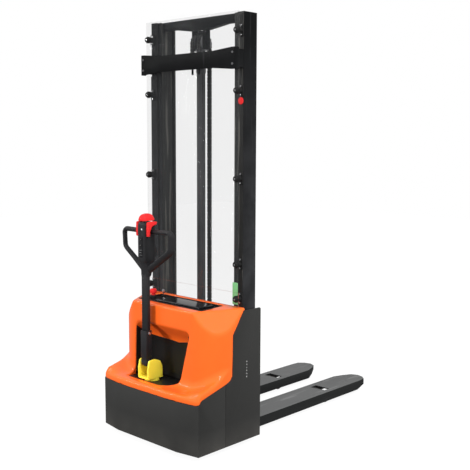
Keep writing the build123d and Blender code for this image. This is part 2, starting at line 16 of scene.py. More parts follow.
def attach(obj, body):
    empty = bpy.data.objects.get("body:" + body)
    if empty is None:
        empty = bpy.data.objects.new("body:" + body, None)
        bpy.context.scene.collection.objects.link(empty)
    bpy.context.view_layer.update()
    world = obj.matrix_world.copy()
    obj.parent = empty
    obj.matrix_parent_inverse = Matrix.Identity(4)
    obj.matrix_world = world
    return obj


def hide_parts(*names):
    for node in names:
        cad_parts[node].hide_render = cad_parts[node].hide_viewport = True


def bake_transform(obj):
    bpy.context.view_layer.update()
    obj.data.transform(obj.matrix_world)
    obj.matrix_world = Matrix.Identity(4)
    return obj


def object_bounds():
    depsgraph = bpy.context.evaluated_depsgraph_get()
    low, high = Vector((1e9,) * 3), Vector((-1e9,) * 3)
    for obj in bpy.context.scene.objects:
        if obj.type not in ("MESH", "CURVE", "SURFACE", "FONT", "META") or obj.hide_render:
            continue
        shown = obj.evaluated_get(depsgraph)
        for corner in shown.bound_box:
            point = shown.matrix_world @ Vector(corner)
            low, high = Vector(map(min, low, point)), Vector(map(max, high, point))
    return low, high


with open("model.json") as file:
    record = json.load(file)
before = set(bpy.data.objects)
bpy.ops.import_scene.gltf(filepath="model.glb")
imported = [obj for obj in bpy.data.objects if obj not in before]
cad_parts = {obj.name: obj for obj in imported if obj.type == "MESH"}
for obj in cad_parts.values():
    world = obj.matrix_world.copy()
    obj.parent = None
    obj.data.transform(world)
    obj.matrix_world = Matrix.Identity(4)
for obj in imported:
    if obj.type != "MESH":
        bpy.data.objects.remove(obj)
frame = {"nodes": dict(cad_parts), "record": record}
cad_lo, cad_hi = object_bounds()
HALF = -cad_lo.y                      # the front face of the skirt lies this far before the origin
MM = 0.001
print("frame box", [round(v, 3) for v in cad_lo], [round(v, 3) for v in cad_hi])


def row(points):
    """Millimetres counted from the skirt's front face, turned into metres in the frame."""
    out = np.asarray(points, float) * MM
    return out - np.array([0.0, HALF, 0.0])


def placed(name, data):
    """A new object that holds the data, linked into the scene."""
    made = bpy.data.objects.new(name, data)
    bpy.context.scene.collection.objects.link(made)
    return made


# %% [markdown]
# ## Camera and light
# A long lens stands well back and a little above the hood, turned about forty degrees to the truck, so that
# the front, the right side and both forks show. Light comes from a bright, even surround, as in a studio
# with white walls. Three soft boxes shape it, unseen by glossy skins, and two narrow strips may be mirrored.

# %% Camera
LENS, SENSOR = 63.18, 36.0
AZIMUTH, TILT, ROLL = math.radians(43.32), math.radians(6.73), math.radians(0.21)
CAMERA_AT = row([3331.4, -2829.2, 1678.5])

cam_data = bpy.data.cameras.new("studio_camera")
cam_data.lens = LENS
cam_data.sensor_width = SENSOR
camera = placed("studio_camera", cam_data)
camera.location = CAMERA_AT
level = math.cos(TILT)
forward = Vector((-math.sin(AZIMUTH) * level, math.cos(AZIMUTH) * level, -math.sin(TILT)))
camera.rotation_mode = "QUATERNION"
camera.rotation_quaternion = forward.to_track_quat("-Z", "Y") @ Quaternion((0, 0, 1), ROLL)
camera.data.clip_end = 100
bpy.context.scene.camera = camera


# %% Surround, soft boxes and floor
def soft_box(name, at, aim, size, power, mirrored=False):
    """A square lamp at a point, turned to face another point; glossy skins show it only if mirrored."""
    lamp = bpy.data.lights.new(name, "AREA")
    lamp.shape = "RECTANGLE"
    lamp.size, lamp.size_y = size
    lamp.energy = power
    holder = placed(name, lamp)
    holder.location = at
    holder.rotation_euler = (Vector(aim) - Vector(at)).to_track_quat("-Z", "Y").to_euler()
    holder.visible_glossy = mirrored


world = bpy.data.worlds.new("studio_surround")
bpy.context.scene.world = world
world.use_nodes = True
surround = world.node_tree.nodes["Background"]
surround.inputs["Color"].default_value = (1.0, 1.0, 1.0, 1.0)
BELOW, ABOVE = 0.22, 0.80             # strength of the surround near the floor and overhead
heading = world.node_tree.nodes.new("ShaderNodeNewGeometry")
split = world.node_tree.nodes.new("ShaderNodeSeparateXYZ")
world.node_tree.links.new(heading.outputs["Incoming"], split.inputs["Vector"])
climb = world.node_tree.nodes.new("ShaderNodeMapRange")
for label, value in (("From Min", 0.35), ("From Max", -0.6), ("To Min", BELOW), ("To Max", ABOVE)):
    climb.inputs[label].default_value = value
world.node_tree.links.new(split.outputs["Z"], climb.inputs["Value"])
seen = world.node_tree.nodes.new("ShaderNodeLightPath")
strength = world.node_tree.nodes.new("ShaderNodeMath")
strength.operation = "MAXIMUM"
world.node_tree.links.new(seen.outputs["Is Camera Ray"], strength.inputs[0])
world.node_tree.links.new(climb.outputs["Result"], strength.inputs[1])
world.node_tree.links.new(strength.outputs["Value"], surround.inputs["Strength"])
bpy.context.scene.view_settings.view_transform = "Standard"

soft_box("key_box", (3.4, -1.4, 3.4), (0, 0, 0.7), (1.2, 1.2), 120)
soft_box("front_box", (-1.2, -4.4, 1.4), (0, -0.4, 0.5), (0.9, 1.6), 110)
soft_box("side_box", (4.6, 0.6, 1.2), (0, 0, 0.8), (0.8, 2.0), 80)
STRIP, STRIP_AIM, STRIP_WATTS = (0.12, 2.6), (0, -0.5, 0.6), 26
soft_box("strip_high", (2.2, -2.4, 5.0), STRIP_AIM, STRIP, STRIP_WATTS, mirrored=True)
soft_box("strip_left", (-3.6, -3.0, 3.0), STRIP_AIM, STRIP, STRIP_WATTS, mirrored=True)

FLOOR_SIZE, FLOOR_DROP = 24.0, 0.0005
bpy.ops.mesh.primitive_grid_add(x_subdivisions=2, y_subdivisions=2, size=FLOOR_SIZE,
                                location=(0, 0, -FLOOR_DROP))
floor = bpy.context.object
floor.name = "studio_floor"
floor.visible_diffuse = False
floor.visible_glossy = False


# %% [markdown]
# ## Finishes
# Five small effects are shared. Each is a node group, built once and placed with its own numbers: cloudy
# colour change, fine powder-coat grain, streaked wear, floor dust (on the mast, painted shade by height) and
# brushed lines. They read the Object coordinates, so a finish stays put on its piece when the mast rises.

# %% Node helpers
def group(name, inputs, outputs):
    """An empty shader group with named sockets; returns (group, input node, output node)."""
    tree = bpy.data.node_groups.new(name, "ShaderNodeTree")
    for label, kind, value in inputs:
        socket = tree.interface.new_socket(name=label, in_out="INPUT", socket_type=kind)
        if value is not None:
            socket.default_value = value
    for label, kind in outputs:
        tree.interface.new_socket(name=label, in_out="OUTPUT", socket_type=kind)
    return tree, tree.nodes.new("NodeGroupInput"), tree.nodes.new("NodeGroupOutput")


def add(tree, kind, links=None, **values):
    """Adds a node: values are input numbers, links feed inputs from sockets."""
    node = tree.nodes.new(kind)
    for key, value in values.items():
        node.inputs[key.replace("_", " ")].default_value = value
    for key, socket in (links or {}).items():
        tree.links.new(socket, node.inputs[key])
    return node


def math_node(tree, operation, a, b, clamp=False):
    """One arithmetic step; a and b are sockets or numbers."""
    node = tree.nodes.new("ShaderNodeMath")
    node.operation = operation
    node.use_clamp = clamp
    for slot_number, value in enumerate((a, b)):
        if isinstance(value, (int, float)):
            node.inputs[slot_number].default_value = value
        else:
            tree.links.new(value, node.inputs[slot_number])
    return node.outputs[0]


def mix_colour(tree, amount, a, b):
    """Colour a where amount is 0 and b where it is 1; each may be a socket or a colour."""
    node = tree.nodes.new("ShaderNodeMix")
    node.data_type = "RGBA"
    for key, value in (("Factor", amount), ("A", a), ("B", b)):
        socket = [s for s in node.inputs if s.name == key and s.enabled][0]
        if hasattr(value, "is_output"):
            tree.links.new(value, socket)
        else:
            socket.default_value = value
    return [s for s in node.outputs if s.enabled][0]


# %% Shared effect groups
FLOAT, VECTOR = "NodeSocketFloat", "NodeSocketVector"


def object_place(tree):
    """Where a point lies on its own piece."""
    return add(tree, "ShaderNodeTexCoord").outputs["Object"]


def noise(tree, place, scale, detail):
    """Fractal noise at a place; scale is a number or a socket."""
    made = add(tree, "ShaderNodeTexNoise", links={"Vector": place}, Detail=detail)
    if hasattr(scale, "is_output"):
        tree.links.new(scale, made.inputs["Scale"])
    else:
        made.inputs["Scale"].default_value = scale
    return made.outputs["Fac"]


def stretched_noise(tree, source, detail):
    """Noise over coordinates multiplied by the group's Stretch, so its spots become streaks."""
    stretch = tree.nodes.new("ShaderNodeVectorMath")
    stretch.operation = "MULTIPLY"
    tree.links.new(object_place(tree), stretch.inputs[0])
    tree.links.new(source.outputs["Stretch"], stretch.inputs[1])
    return noise(tree, stretch.outputs[0], 1.0, detail)


def cloud_group():
    """Slow change of shade: the mean of a large noise and one with spots 6.3 times finer."""
    tree, source, sink = group("cloudy_shade", [("Scale", FLOAT, 4.0)], [("Mask", FLOAT)])
    place = object_place(tree)
    finer = math_node(tree, "MULTIPLY", source.outputs["Scale"], 6.3)
    large, small = noise(tree, place, source.outputs["Scale"], 5.0), noise(tree, place, finer, 3.0)
    total = math_node(tree, "ADD", large, small)
    tree.links.new(math_node(tree, "MULTIPLY", total, 0.5), sink.inputs["Mask"])
    return tree


def grain_group():
    """Fine raised grain, as in powder coat or moulded plastic: a tight noise times a height."""
    tree, source, sink = group("fine_grain", [("Scale", FLOAT, 900.0), ("Height", FLOAT, 0.1)],
                               [("Height", FLOAT)])
    grains = noise(tree, object_place(tree), source.outputs["Scale"], 2.0)
    tree.links.new(math_node(tree, "MULTIPLY", grains, source.outputs["Height"]), sink.inputs["Height"])
    return tree


def wear_group():
    """Rubbed streaks: stretched noise cut at a threshold, so that only its peaks show."""
    inputs = [("Stretch", VECTOR, (30.0, 30.0, 4.0)), ("Threshold", FLOAT, 0.62), ("Softness", FLOAT, 12.0)]
    tree, source, sink = group("rubbed_wear", inputs, [("Mask", FLOAT)])
    streaks = stretched_noise(tree, source, 6.0)
    above = math_node(tree, "SUBTRACT", streaks, source.outputs["Threshold"])
    mask = math_node(tree, "MULTIPLY", above, source.outputs["Softness"], clamp=True)
    tree.links.new(mask, sink.inputs["Mask"])
    return tree


def dust_and_shade_group():
    """Dust, and on the mast painted shade by height: strongest at the floor and gone at a given height,
    broken up by noise.
    """
    tree, source, sink = group("floor_dust_and_shade", [("Height", FLOAT, 0.35), ("Amount", FLOAT, 0.35)],
                               [("Mask", FLOAT)])
    place = object_place(tree)
    split = add(tree, "ShaderNodeSeparateXYZ", links={"Vector": place})
    share = math_node(tree, "DIVIDE", split.outputs["Z"], source.outputs["Height"])
    fade = math_node(tree, "SUBTRACT", 1.0, share, clamp=True)
    patch = math_node(tree, "MULTIPLY", fade, noise(tree, place, 9.0, 6.0))
    mask = math_node(tree, "MULTIPLY", patch, source.outputs["Amount"], clamp=True)
    tree.links.new(mask, sink.inputs["Mask"])
    return tree


def brush_group():
    """Turned or brushed lines: noise stretched hard along one direction, as a height and a mask."""
    inputs = [("Stretch", VECTOR, (20.0, 900.0, 900.0)), ("Height", FLOAT, 0.05)]
    tree, source, sink = group("brushed_lines", inputs, [("Height", FLOAT), ("Mask", FLOAT)])
    lines = stretched_noise(tree, source, 3.0)
    tree.links.new(math_node(tree, "MULTIPLY", lines, source.outputs["Height"]), sink.inputs["Height"])
    tree.links.new(lines, sink.inputs["Mask"])
    return tree


EFFECT = {"cloud": cloud_group(), "grain": grain_group(), "wear": wear_group(), "dust_and_shade": dust_and_shade_group(),
          "brush": brush_group()}
print("effect groups:", sorted(EFFECT))


# %% Materials
def place_group(tree, effect, **values):
    """One shared effect, placed in a material with its own numbers."""
    node = tree.nodes.new("ShaderNodeGroup")
    node.node_tree = EFFECT[effect]
    for key, value in values.items():
        node.inputs[key].default_value = value
    return node


def principled(name):
    """A new material with its node tree and its one shader."""
    material = bpy.data.materials.new(name)
    material.use_nodes = True
    return material, material.node_tree, material.node_tree.nodes["Principled BSDF"]


def swing(tree, mask, size, low):
    """A mask times a size, added to a lowest value."""
    total = math_node(tree, "MULTIPLY_ADD", mask, size)
    total.node.inputs[2].default_value = low
    return total


def raised(tree, shader, height):
    """Feeds a height in metres to the shader's normal."""
    bump = add(tree, "ShaderNodeBump", links={"Height": height}, Distance=1.0, Strength=1.0)
    tree.links.new(bump.outputs["Normal"], shader.inputs["Normal"])


GREY_DUST = (0.30, 0.28, 0.25, 1.0)


def painted(name, base, dark, rough, grain_scale, grain_mm, cloud=4.0, coat=0.0, wear=None,
            wear_colour=None, dust_and_shade=None, dust_and_shade_colour=GREY_DUST, rough_swing=0.12, specular=0.5):
    """Coloured finish: cloudy shade, grain in the normal, optional rubbed wear, and floor dust that is
    painted shade on the mast.
    """
    material, tree, shader = principled(name)
    shade = place_group(tree, "cloud", Scale=cloud).outputs["Mask"]
    colour = mix_colour(tree, shade, (*dark, 1.0), (*base, 1.0))
    roughness = swing(tree, shade, rough_swing, rough - rough_swing / 2)
    if wear:
        stretch, threshold, amount = wear
        mask = place_group(tree, "wear", Stretch=stretch, Threshold=threshold).outputs["Mask"]
        mask = math_node(tree, "MULTIPLY", mask, amount)
        colour = mix_colour(tree, mask, colour, (*wear_colour, 1.0))
    if dust_and_shade:
        mask = place_group(tree, "dust_and_shade", Height=dust_and_shade[0], Amount=dust_and_shade[1]).outputs["Mask"]
        colour = mix_colour(tree, mask, colour, dust_and_shade_colour)
        roughness = math_node(tree, "ADD", roughness, math_node(tree, "MULTIPLY", mask, 0.5))
    tree.links.new(colour, shader.inputs["Base Color"])
    tree.links.new(roughness, shader.inputs["Roughness"])
    shader.inputs["Specular IOR Level"].default_value = specular
    shader.inputs["Coat Weight"].default_value = coat
    shader.inputs["Coat Roughness"].default_value = 0.06
    grain = place_group(tree, "grain", Scale=grain_scale, Height=grain_mm * MM)
    raised(tree, shader, grain.outputs["Height"])
    return material


def metal(name, base, rough, stretch, height_mm, metallic=1.0):
    """Bare metal with turned or brushed lines in its normal and its roughness."""
    material, tree, shader = principled(name)
    lines = place_group(tree, "brush", Stretch=stretch, Height=height_mm * MM)
    shade = place_group(tree, "cloud", Scale=8.0).outputs["Mask"]
    dark = tuple(c * 0.7 for c in base)
    tree.links.new(mix_colour(tree, shade, (*dark, 1.0), (*base, 1.0)), shader.inputs["Base Color"])
    roughness = swing(tree, lines.outputs["Mask"], 0.25, rough - 0.12)
    tree.links.new(roughness, shader.inputs["Roughness"])
    shader.inputs["Metallic"].default_value = metallic
    raised(tree, shader, lines.outputs["Height"])
    return material


def clear_sheet(name, tint, alpha, rough):
    """Clear guard sheet: mostly see-through, with a clean gloss and a faint haze of fine scratches."""
    material, tree, shader = principled(name)
    shader.inputs["Base Color"].default_value = (*tint, 1.0)
    shader.inputs["IOR"].default_value = 1.5
    shader.inputs["Specular IOR Level"].default_value = 0.08
    scratch = place_group(tree, "wear", Stretch=(40.0, 40.0, 220.0), Threshold=0.66).outputs["Mask"]
    tree.links.new(swing(tree, scratch, 0.05, alpha), shader.inputs["Alpha"])
    shade = place_group(tree, "cloud", Scale=3.0).outputs["Mask"]
    tree.links.new(swing(tree, shade, 0.04, rough), shader.inputs["Roughness"])
    return material


STREAK = (60.0, 60.0, 2.5)            # streaks that run up and down
BLADE_STREAK = (26.0, 3.0, 26.0)      # streaks that run along the forks

# Each paint: light colour, dark colour, roughness, grains per metre, grain height in mm, and its extras.
PAINT = {
    "hood_orange": ((0.96, 0.150, 0.020), (0.90, 0.128, 0.015), 0.22, 260.0, 0.010,
                    dict(cloud=3.0, coat=0.25, rough_swing=0.06, specular=0.22)),
    "chassis_grey": ((0.034, 0.034, 0.033), (0.026, 0.026, 0.025), 0.55, 1500.0, 0.05,
                     dict(dust_and_shade=(0.16, 0.20), specular=0.18)),
    "frame_black": ((0.012, 0.012, 0.013), (0.008, 0.008, 0.009), 0.5, 1200.0, 0.05,
                    dict(wear=(STREAK, 0.66, 0.3), wear_colour=(0.07, 0.07, 0.07), dust_and_shade=(0.2, 0.4),
                         specular=0.25)),
    # Its lighter dust colour, reaching 2.25 m, is painted shade: the mast darker at its top and lighter lower
    # down.
    "mast_black": ((0.0050, 0.0053, 0.0055), (0.0030, 0.0032, 0.0034), 0.38, 700.0, 0.03,
                   dict(cloud=6.0, wear=(STREAK, 0.62, 0.35), wear_colour=(0.040, 0.040, 0.043),
                        specular=0.045, dust_and_shade=(2.25, 0.95), dust_and_shade_colour=(0.080, 0.081, 0.087, 1.0))),
    # A lighter copy of the mast's black for faces picked by direction: painted highlight, with rubbed
    # streaks.
    "rail_worn": ((0.024, 0.024, 0.023), (0.011, 0.011, 0.011), 0.38, 700.0, 0.03,
                  dict(cloud=6.0, wear=(STREAK, 0.56, 0.5), wear_colour=(0.12, 0.116, 0.104), specular=0.12)),
    "barrel_black": ((0.060, 0.060, 0.064), (0.030, 0.030, 0.032), 0.20, 500.0, 0.01, dict(coat=0.7)),
    "black_plastic": ((0.013, 0.013, 0.013), (0.008, 0.008, 0.008), 0.45, 1400.0, 0.04, dict(specular=0.25)),
    "handle_black": ((0.020, 0.020, 0.022), (0.013, 0.013, 0.014), 0.46, 1500.0, 0.06, dict(specular=0.28)),
    "display_black": ((0.008, 0.008, 0.010), (0.005, 0.005, 0.006), 0.12, 300.0, 0.002,
                      dict(coat=0.3, specular=0.3)),
    "signal_red": ((0.74, 0.030, 0.030), (0.62, 0.018, 0.020), 0.34, 900.0, 0.012, dict(specular=0.15)),
    "safety_yellow": ((1.00, 0.86, 0.075), (1.00, 0.80, 0.06), 0.35, 600.0, 0.02, dict(coat=0.2)),
    "fork_grey": ((0.019, 0.020, 0.020), (0.013, 0.014, 0.014), 0.5, 900.0, 0.04,
                  dict(cloud=5.0, wear=(BLADE_STREAK, 0.64, 0.3), wear_colour=(0.10, 0.10, 0.10),
                       specular=0.15)),
    # A lighter copy of the forks' paint for their tops: painted light from overhead, with rubbed streaks.
    "fork_top": ((0.118, 0.120, 0.120), (0.088, 0.090, 0.090), 0.5, 900.0, 0.04,
                 dict(cloud=5.0, wear=(BLADE_STREAK, 0.60, 0.5), wear_colour=(0.22, 0.22, 0.22),
                      specular=0.25)),
    "guard_edge": ((0.30, 0.10, 0.07), (0.22, 0.07, 0.05), 0.25, 300.0, 0.01, {}),
    "cable_black": ((0.015, 0.015, 0.015), (0.009, 0.009, 0.009), 0.6, 1800.0, 0.03, dict(specular=0.3)),
    "gear_grey": ((0.12, 0.12, 0.125), (0.08, 0.08, 0.085), 0.6, 300.0, 0.12, dict(dust_and_shade=(0.25, 0.6))),
    "tread": ((0.030, 0.030, 0.032), (0.020, 0.020, 0.022), 0.62, 700.0, 0.05, dict(dust_and_shade=(0.10, 0.9))),
    "button_grey": ((0.22, 0.22, 0.22), (0.16, 0.16, 0.16), 0.4, 900.0, 0.02, {}),
    "label_green": ((0.24, 0.62, 0.26), (0.20, 0.56, 0.22), 0.5, 500.0, 0.01, {}),
    "mark_white": ((0.80, 0.80, 0.80), (0.72, 0.72, 0.72), 0.5, 500.0, 0.01, {}),
}
# Each bare metal: colour, roughness, stretch of its lines, their height in mm, and how metallic it is.
BARE = {
    "bright_steel": ((0.80, 0.80, 0.81), 0.22, (900.0, 900.0, 20.0), 0.008, 1.0),
    "roller_steel": ((0.34, 0.34, 0.35), 0.38, (40.0, 700.0, 700.0), 0.02, 1.0),
    "chain_steel": ((0.030, 0.029, 0.028), 0.40, (500.0, 500.0, 500.0), 0.02, 0.5),
    "zinc_steel": ((0.55, 0.55, 0.57), 0.4, (300.0, 300.0, 300.0), 0.02, 1.0),
}
MATERIAL = {name: painted(name, *values[:-1], **values[-1]) for name, values in PAINT.items()}
MATERIAL.update({name: metal(name, *values) for name, values in BARE.items()})
MATERIAL["clear_guard"] = clear_sheet("clear_guard", (0.10, 0.105, 0.11), 0.085, 0.05)

paper = painted("studio_floor_white", (0.12, 0.12, 0.12), (0.11, 0.11, 0.11), 0.9, 50.0, 0.0, specular=0.0)
paper_shader = paper.node_tree.nodes["Principled BSDF"]
paper_shader.inputs["Emission Color"].default_value = (1.0, 1.0, 1.0, 1.0)
paper_shader.inputs["Emission Strength"].default_value = 0.93
floor.data.materials.append(paper)


SLOT = {part["node"]: part["material_slot"] for part in frame["record"]["subparts"]}
for node, slot_name in SLOT.items():
    data = frame["nodes"][node].data
    data.materials.clear()
    data.materials.append(MATERIAL[slot_name])
print("finishes:", len(MATERIAL))


# %% [markdown]
# ## Softening the edges of plates and castings
# Real plate has a small radius on every edge, and that radius catches the light. The node's own mesh stays
# as it is: a merged copy gets a narrow bevel and stands for the node.

# %% Eased copies of the flat-sided nodes
BODY = {node: body for body, nodes in frame["record"]["behaviour"]["bodies"].items() for node in nodes}


def piece(name, data, body, slot_name, material=None, replaces=()):
    """Links a finished mesh as one piece that rides on a body."""
    made = placed(name, data)
    if not data.materials:
        data.materials.append(MATERIAL[material or slot_name])
    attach(made, body)
    if replaces:
        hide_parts(*replaces)
    return made


def tint(data, base, other, chosen):
    """Two finishes on one mesh: the faces that a test picks get the second."""
    data.materials.clear()
    for name in (base, other):
        data.materials.append(MATERIAL[name])
    for face in data.polygons:
        face.material_index = int(chosen(face.normal))


# Nodes with a second finish, and the test that picks the faces it goes on.
TINTED = {"mast_guard_lower": ("guard_edge", lambda normal: abs(normal.y) < 0.5)}
# The uprights' faces picked by direction get the lighter copy: painted highlight, with rubbed streaks.
for which in ("outer", "inner"):
    TINTED[f"{which}_mast_left"] = ("rail_worn", lambda normal: normal.x > 0.9)
    TINTED[f"{which}_mast_right"] = ("rail_worn", lambda normal: min(normal.x, normal.y) < -0.9)
# The forks' tops get the lighter copy: painted light from overhead, with rubbed streaks.
for side_name in ("left", "right"):
    TINTED[f"fork_{side_name}"] = ("fork_top", lambda normal: normal.z > 0.9)


def eased(node, width):
    """A merged copy of a node with its edges rounded to a width in millimetres."""
    data = frame["nodes"][node].data.copy()
    mesh = bmesh.new()
    mesh.from_mesh(data)
    bmesh.ops.remove_doubles(mesh, verts=mesh.verts, dist=1e-5)
    bmesh.ops.dissolve_limit(mesh, angle_limit=math.radians(1.0), verts=mesh.verts, edges=mesh.edges)
    mesh.to_mesh(data)
    mesh.free()
    data.shade_smooth()
    if node in TINTED:
        tint(data, SLOT[node], *TINTED[node])
    made = piece(node + "_skin", data, BODY[node], SLOT[node], replaces=[node])
    bevel = made.modifiers.new("edge_radius", "BEVEL")
    bevel.width = width * MM
    bevel.segments = 2
    bevel.limit_method = "ANGLE"
    bevel.angle_limit = math.radians(30)
    bevel.harden_normals = True
    return made


EASED = {
    "front_skirt": 1.6, "side_panel_left": 1.6, "side_panel_right": 1.6, "outer_mast_left": 1.2,
    "outer_mast_right": 1.2, "inner_mast_left": 1.5, "inner_mast_right": 1.5, "inner_crosshead": 1.5,
    "mast_tie_upper": 1.8, "fork_left": 2.0, "fork_right": 2.0, "support_leg_left": 1.5,
    "support_leg_right": 1.5, "carriage_frame": 1.5, "mast_guard_upper": 0.8, "mast_guard_lower": 0.8,
    "top_tray": 1.0, "battery_display": 1.2, "tiller_sleeve": 2.5, "tiller_tube": 1.5,
    "chain_anchor_bracket": 1.0, "sheave_block": 1.0, "caster_fork_left": 0.8, "caster_fork_right": 0.8,
}
for node, width in EASED.items():
    eased(node, width)
print("eased nodes:", len(EASED))


# %% [markdown]
# ## Shape helpers
# Every replacement skin is worked out in millimetres and then placed with `row`. A loft joins rings of equal
# length; a pillow is an outline drawn out along one axis with softened ends; a lathe turns a profile.

# %% Shape helpers
def raw_mesh(name, points, faces):
    """A mesh from points in millimetres and faces, as they are."""
    data = bpy.data.meshes.new(name)
    data.from_pydata(row(points).tolist(), [], faces)
    return data


def walled(made, thickness, offset=-1.0):
    """Gives a skin the wall of a moulding, behind it at an offset of -1 and on both sides at 0."""
    shell = made.modifiers.new("moulding_thickness", "SOLIDIFY")
    shell.thickness, shell.offset = thickness * MM, offset


def skin(name, shape, smooth=True):
    """A mesh from (points, faces) in millimetres, with its faces turned outwards."""
    data = raw_mesh(name, *shape)
    mesh = bmesh.new()
    mesh.from_mesh(data)
    bmesh.ops.recalc_face_normals(mesh, faces=mesh.faces)
    mesh.to_mesh(data)
    mesh.free()
    if smooth:
        data.shade_smooth()
        data.set_sharp_from_angle(angle=math.radians(38))
    return data


def skinned(name, shape, body, slot_name, material=None, replaces=()):
    """A piece made straight from a (points, faces) shape."""
    return piece(name, skin(name, shape), body, slot_name, material, replaces)


def join(shapes):
    """Several (points, faces) shapes as one."""
    points, faces, start = [], [], 0
    for shape_points, shape_faces in shapes:
        points.append(np.asarray(shape_points, float))
        faces += [tuple(start + i for i in face) for face in shape_faces]
        start += len(shape_points)
    return np.vstack(points), faces


def loft(rings, loop=False):
    """Skin through rings of equal length; the ends close in fans unless the rings loop."""
    rings = np.asarray(rings, float)
    count, sides = rings.shape[:2]
    faces = []
    for i in range(count if loop else count - 1):
        low, high = i * sides, (i + 1) % count * sides
        for s in range(sides):
            t = (s + 1) % sides
            faces.append((low + s, low + t, high + t, high + s))
    points = rings.reshape(-1, 3)
    if loop:
        return points, faces
    points = np.vstack([points, rings[0].mean(0), rings[-1].mean(0)])
    last = (count - 1) * sides
    for s in range(sides):
        t = (s + 1) % sides
        faces += [(count * sides, t, s), (count * sides + 1, last + s, last + t)]
    return points, faces


AXES = {"x": (1, 2, 0), "y": (2, 0, 1), "z": (0, 1, 2)}


def lathe(profile, centre, axis="z", sides=48, loop=False):
    """Turns (radius, height) steps about an axis through a centre; a looped profile leaves a bore."""
    a, b, along = AXES[axis]
    angle = np.linspace(0, 2 * np.pi, sides, endpoint=False)
    rings = []
    for radius, height in profile:
        ring = np.tile(np.asarray(centre, float), (sides, 1))
        ring[:, a] += radius * np.cos(angle)
        ring[:, b] += radius * np.sin(angle)
        ring[:, along] += height
        rings.append(ring)
    return loft(rings, loop)


def pillow(outline, span, axis, soft=4.0, steps=5):
    """An outline in the two other axes, drawn out over a span, its ends rounded by a soft radius."""
    a, b, along = AXES[axis]
    outline = np.asarray(outline, float)
    ahead = np.roll(outline, -1, 0) - np.roll(outline, 1, 0)
    area = np.sum(outline[:, 0] * np.roll(outline[:, 1], -1) - np.roll(outline[:, 0], -1) * outline[:, 1])
    inward = np.stack([-ahead[:, 1], ahead[:, 0]], 1) * np.sign(area)
    inward /= np.linalg.norm(inward, axis=1, keepdims=True)
    turn = np.linspace(0, np.pi / 2, steps)
    rise = [(soft * (1 - math.sin(t)), span[0] + soft * (1 - math.cos(t))) for t in turn]
    fall = [(inset, span[1] - (height - span[0])) for inset, height in reversed(rise)]
    rings = []
    for inset, height in rise + fall:
        ring = np.zeros((len(outline), 3))
        ring[:, [a, b]] = outline + inward * inset
        ring[:, along] = height
        rings.append(ring)
    return loft(rings)


def arc(before, corner, after, radius, steps):
    """Points round a corner cut to a radius: from where one side touches the arc to where the other does."""
    back, ahead = before - corner, after - corner
    back, ahead = back / np.linalg.norm(back), ahead / np.linalg.norm(ahead)
    half = math.acos(np.clip(back @ ahead, -1, 1)) / 2
    middle = corner + (back + ahead) / np.linalg.norm(back + ahead) * radius / math.sin(half)
    start = corner + back * radius / math.tan(half) - middle
    stop = corner + ahead * radius / math.tan(half) - middle
    share = np.linspace(0, 1, steps)[:, None]
    sweep = math.pi - 2 * half
    return middle + (start * np.sin((1 - share) * sweep) + stop * np.sin(share * sweep)) / math.sin(sweep)


def rounded(corners, radius, steps=6):
    """A closed outline with every corner turned into an arc; radius may be one number or one a corner."""
    corners = np.asarray(corners, float)
    radius = np.broadcast_to(radius, len(corners))
    around = zip(np.roll(corners, 1, 0), corners, np.roll(corners, -1, 0), radius)
    return np.vstack([arc(before, corner, after, r, steps) for before, corner, after, r in around])


def rectangle(low, high, radius, steps=6):
    """A round-cornered rectangle between two opposite corners."""
    return rounded([low, (high[0], low[1]), high, (low[0], high[1])], radius, steps)


def both_sides(half):
    """A profile with its mirror image after it."""
    return half + [(radius, -height) for radius, height in reversed(half)]


def oval(centre, half, power, sides=40):
    """A level superellipse ring; a higher power is squarer."""
    angle = np.linspace(0, 2 * np.pi, sides, endpoint=False)
    curve = [np.sign(f(angle)) * np.abs(f(angle)) ** (2.0 / power) for f in (np.cos, np.sin)]
    return np.stack([centre[0] + half[0] * curve[0], centre[1] + half[1] * curve[1],
                     np.full(sides, float(centre[2]))], 1)


def tube(path, radii, sides=16, frame_normal=(0, 1, 0), lean=0.0):
    """Sweeps an ellipse (half-size in the path's plane, half-size across it), leaned round the path."""
    path = np.asarray(path, float)
    across = np.asarray(frame_normal, float)
    ahead = np.gradient(path, axis=0)
    ahead /= np.linalg.norm(ahead, axis=1, keepdims=True)
    side = np.cross(ahead, across)
    side /= np.linalg.norm(side, axis=1, keepdims=True)
    up = np.cross(side, ahead)
    lean = np.broadcast_to(lean, len(path))[:, None]
    side, up = side * np.cos(lean) + up * np.sin(lean), up * np.cos(lean) - side * np.sin(lean)
    radii = np.broadcast_to(np.asarray(radii, float), (len(path), 2))
    angle = np.linspace(0, 2 * np.pi, sides, endpoint=False)
    rings = [p + np.outer(np.cos(angle), s) * r[0] + np.outer(np.sin(angle), u) * r[1]
             for p, s, u, r in zip(path, side, up, radii)]
    return loft(rings)


def slab(x, y, z, soft=1.0):
    """A box with rounded vertical corners and softened top and bottom."""
    return pillow(rectangle((x[0], y[0]), (x[1], y[1]), soft * 1.6, 4), z, "z", soft, 3)


def socket_screw(centre, axis="z", radius=5.0, sign=1.0):
    """A cap screw's head with its socket."""
    profile = [(radius, 0.0), (radius, 2.6), (radius - 0.6, 3.2), (radius * 0.58, 3.2), (radius * 0.5, 1.2)]
    return lathe([(r, h * sign) for r, h in profile], centre, axis, 18)


# %% [markdown]
# ## The moulded hood
# The hood is one skin: an upright body with wide round corners, blended into a shelf round its foot, with
# a sloping facet on each shoulder, a recess for the tiller foot and a pocket in its top. It is written as a
# signed field and skinned on a grid; every point is then drawn onto the field's zero, so the curves are
# smooth however coarse the grid is.

# %% Fields
def smooth_max(a, b, k):
    """The larger value, with the crease between the two rounded over a width k."""
    near = np.maximum(k - np.abs(a - b), 0.0) / k
    return np.maximum(a, b) + near * near * k / 4


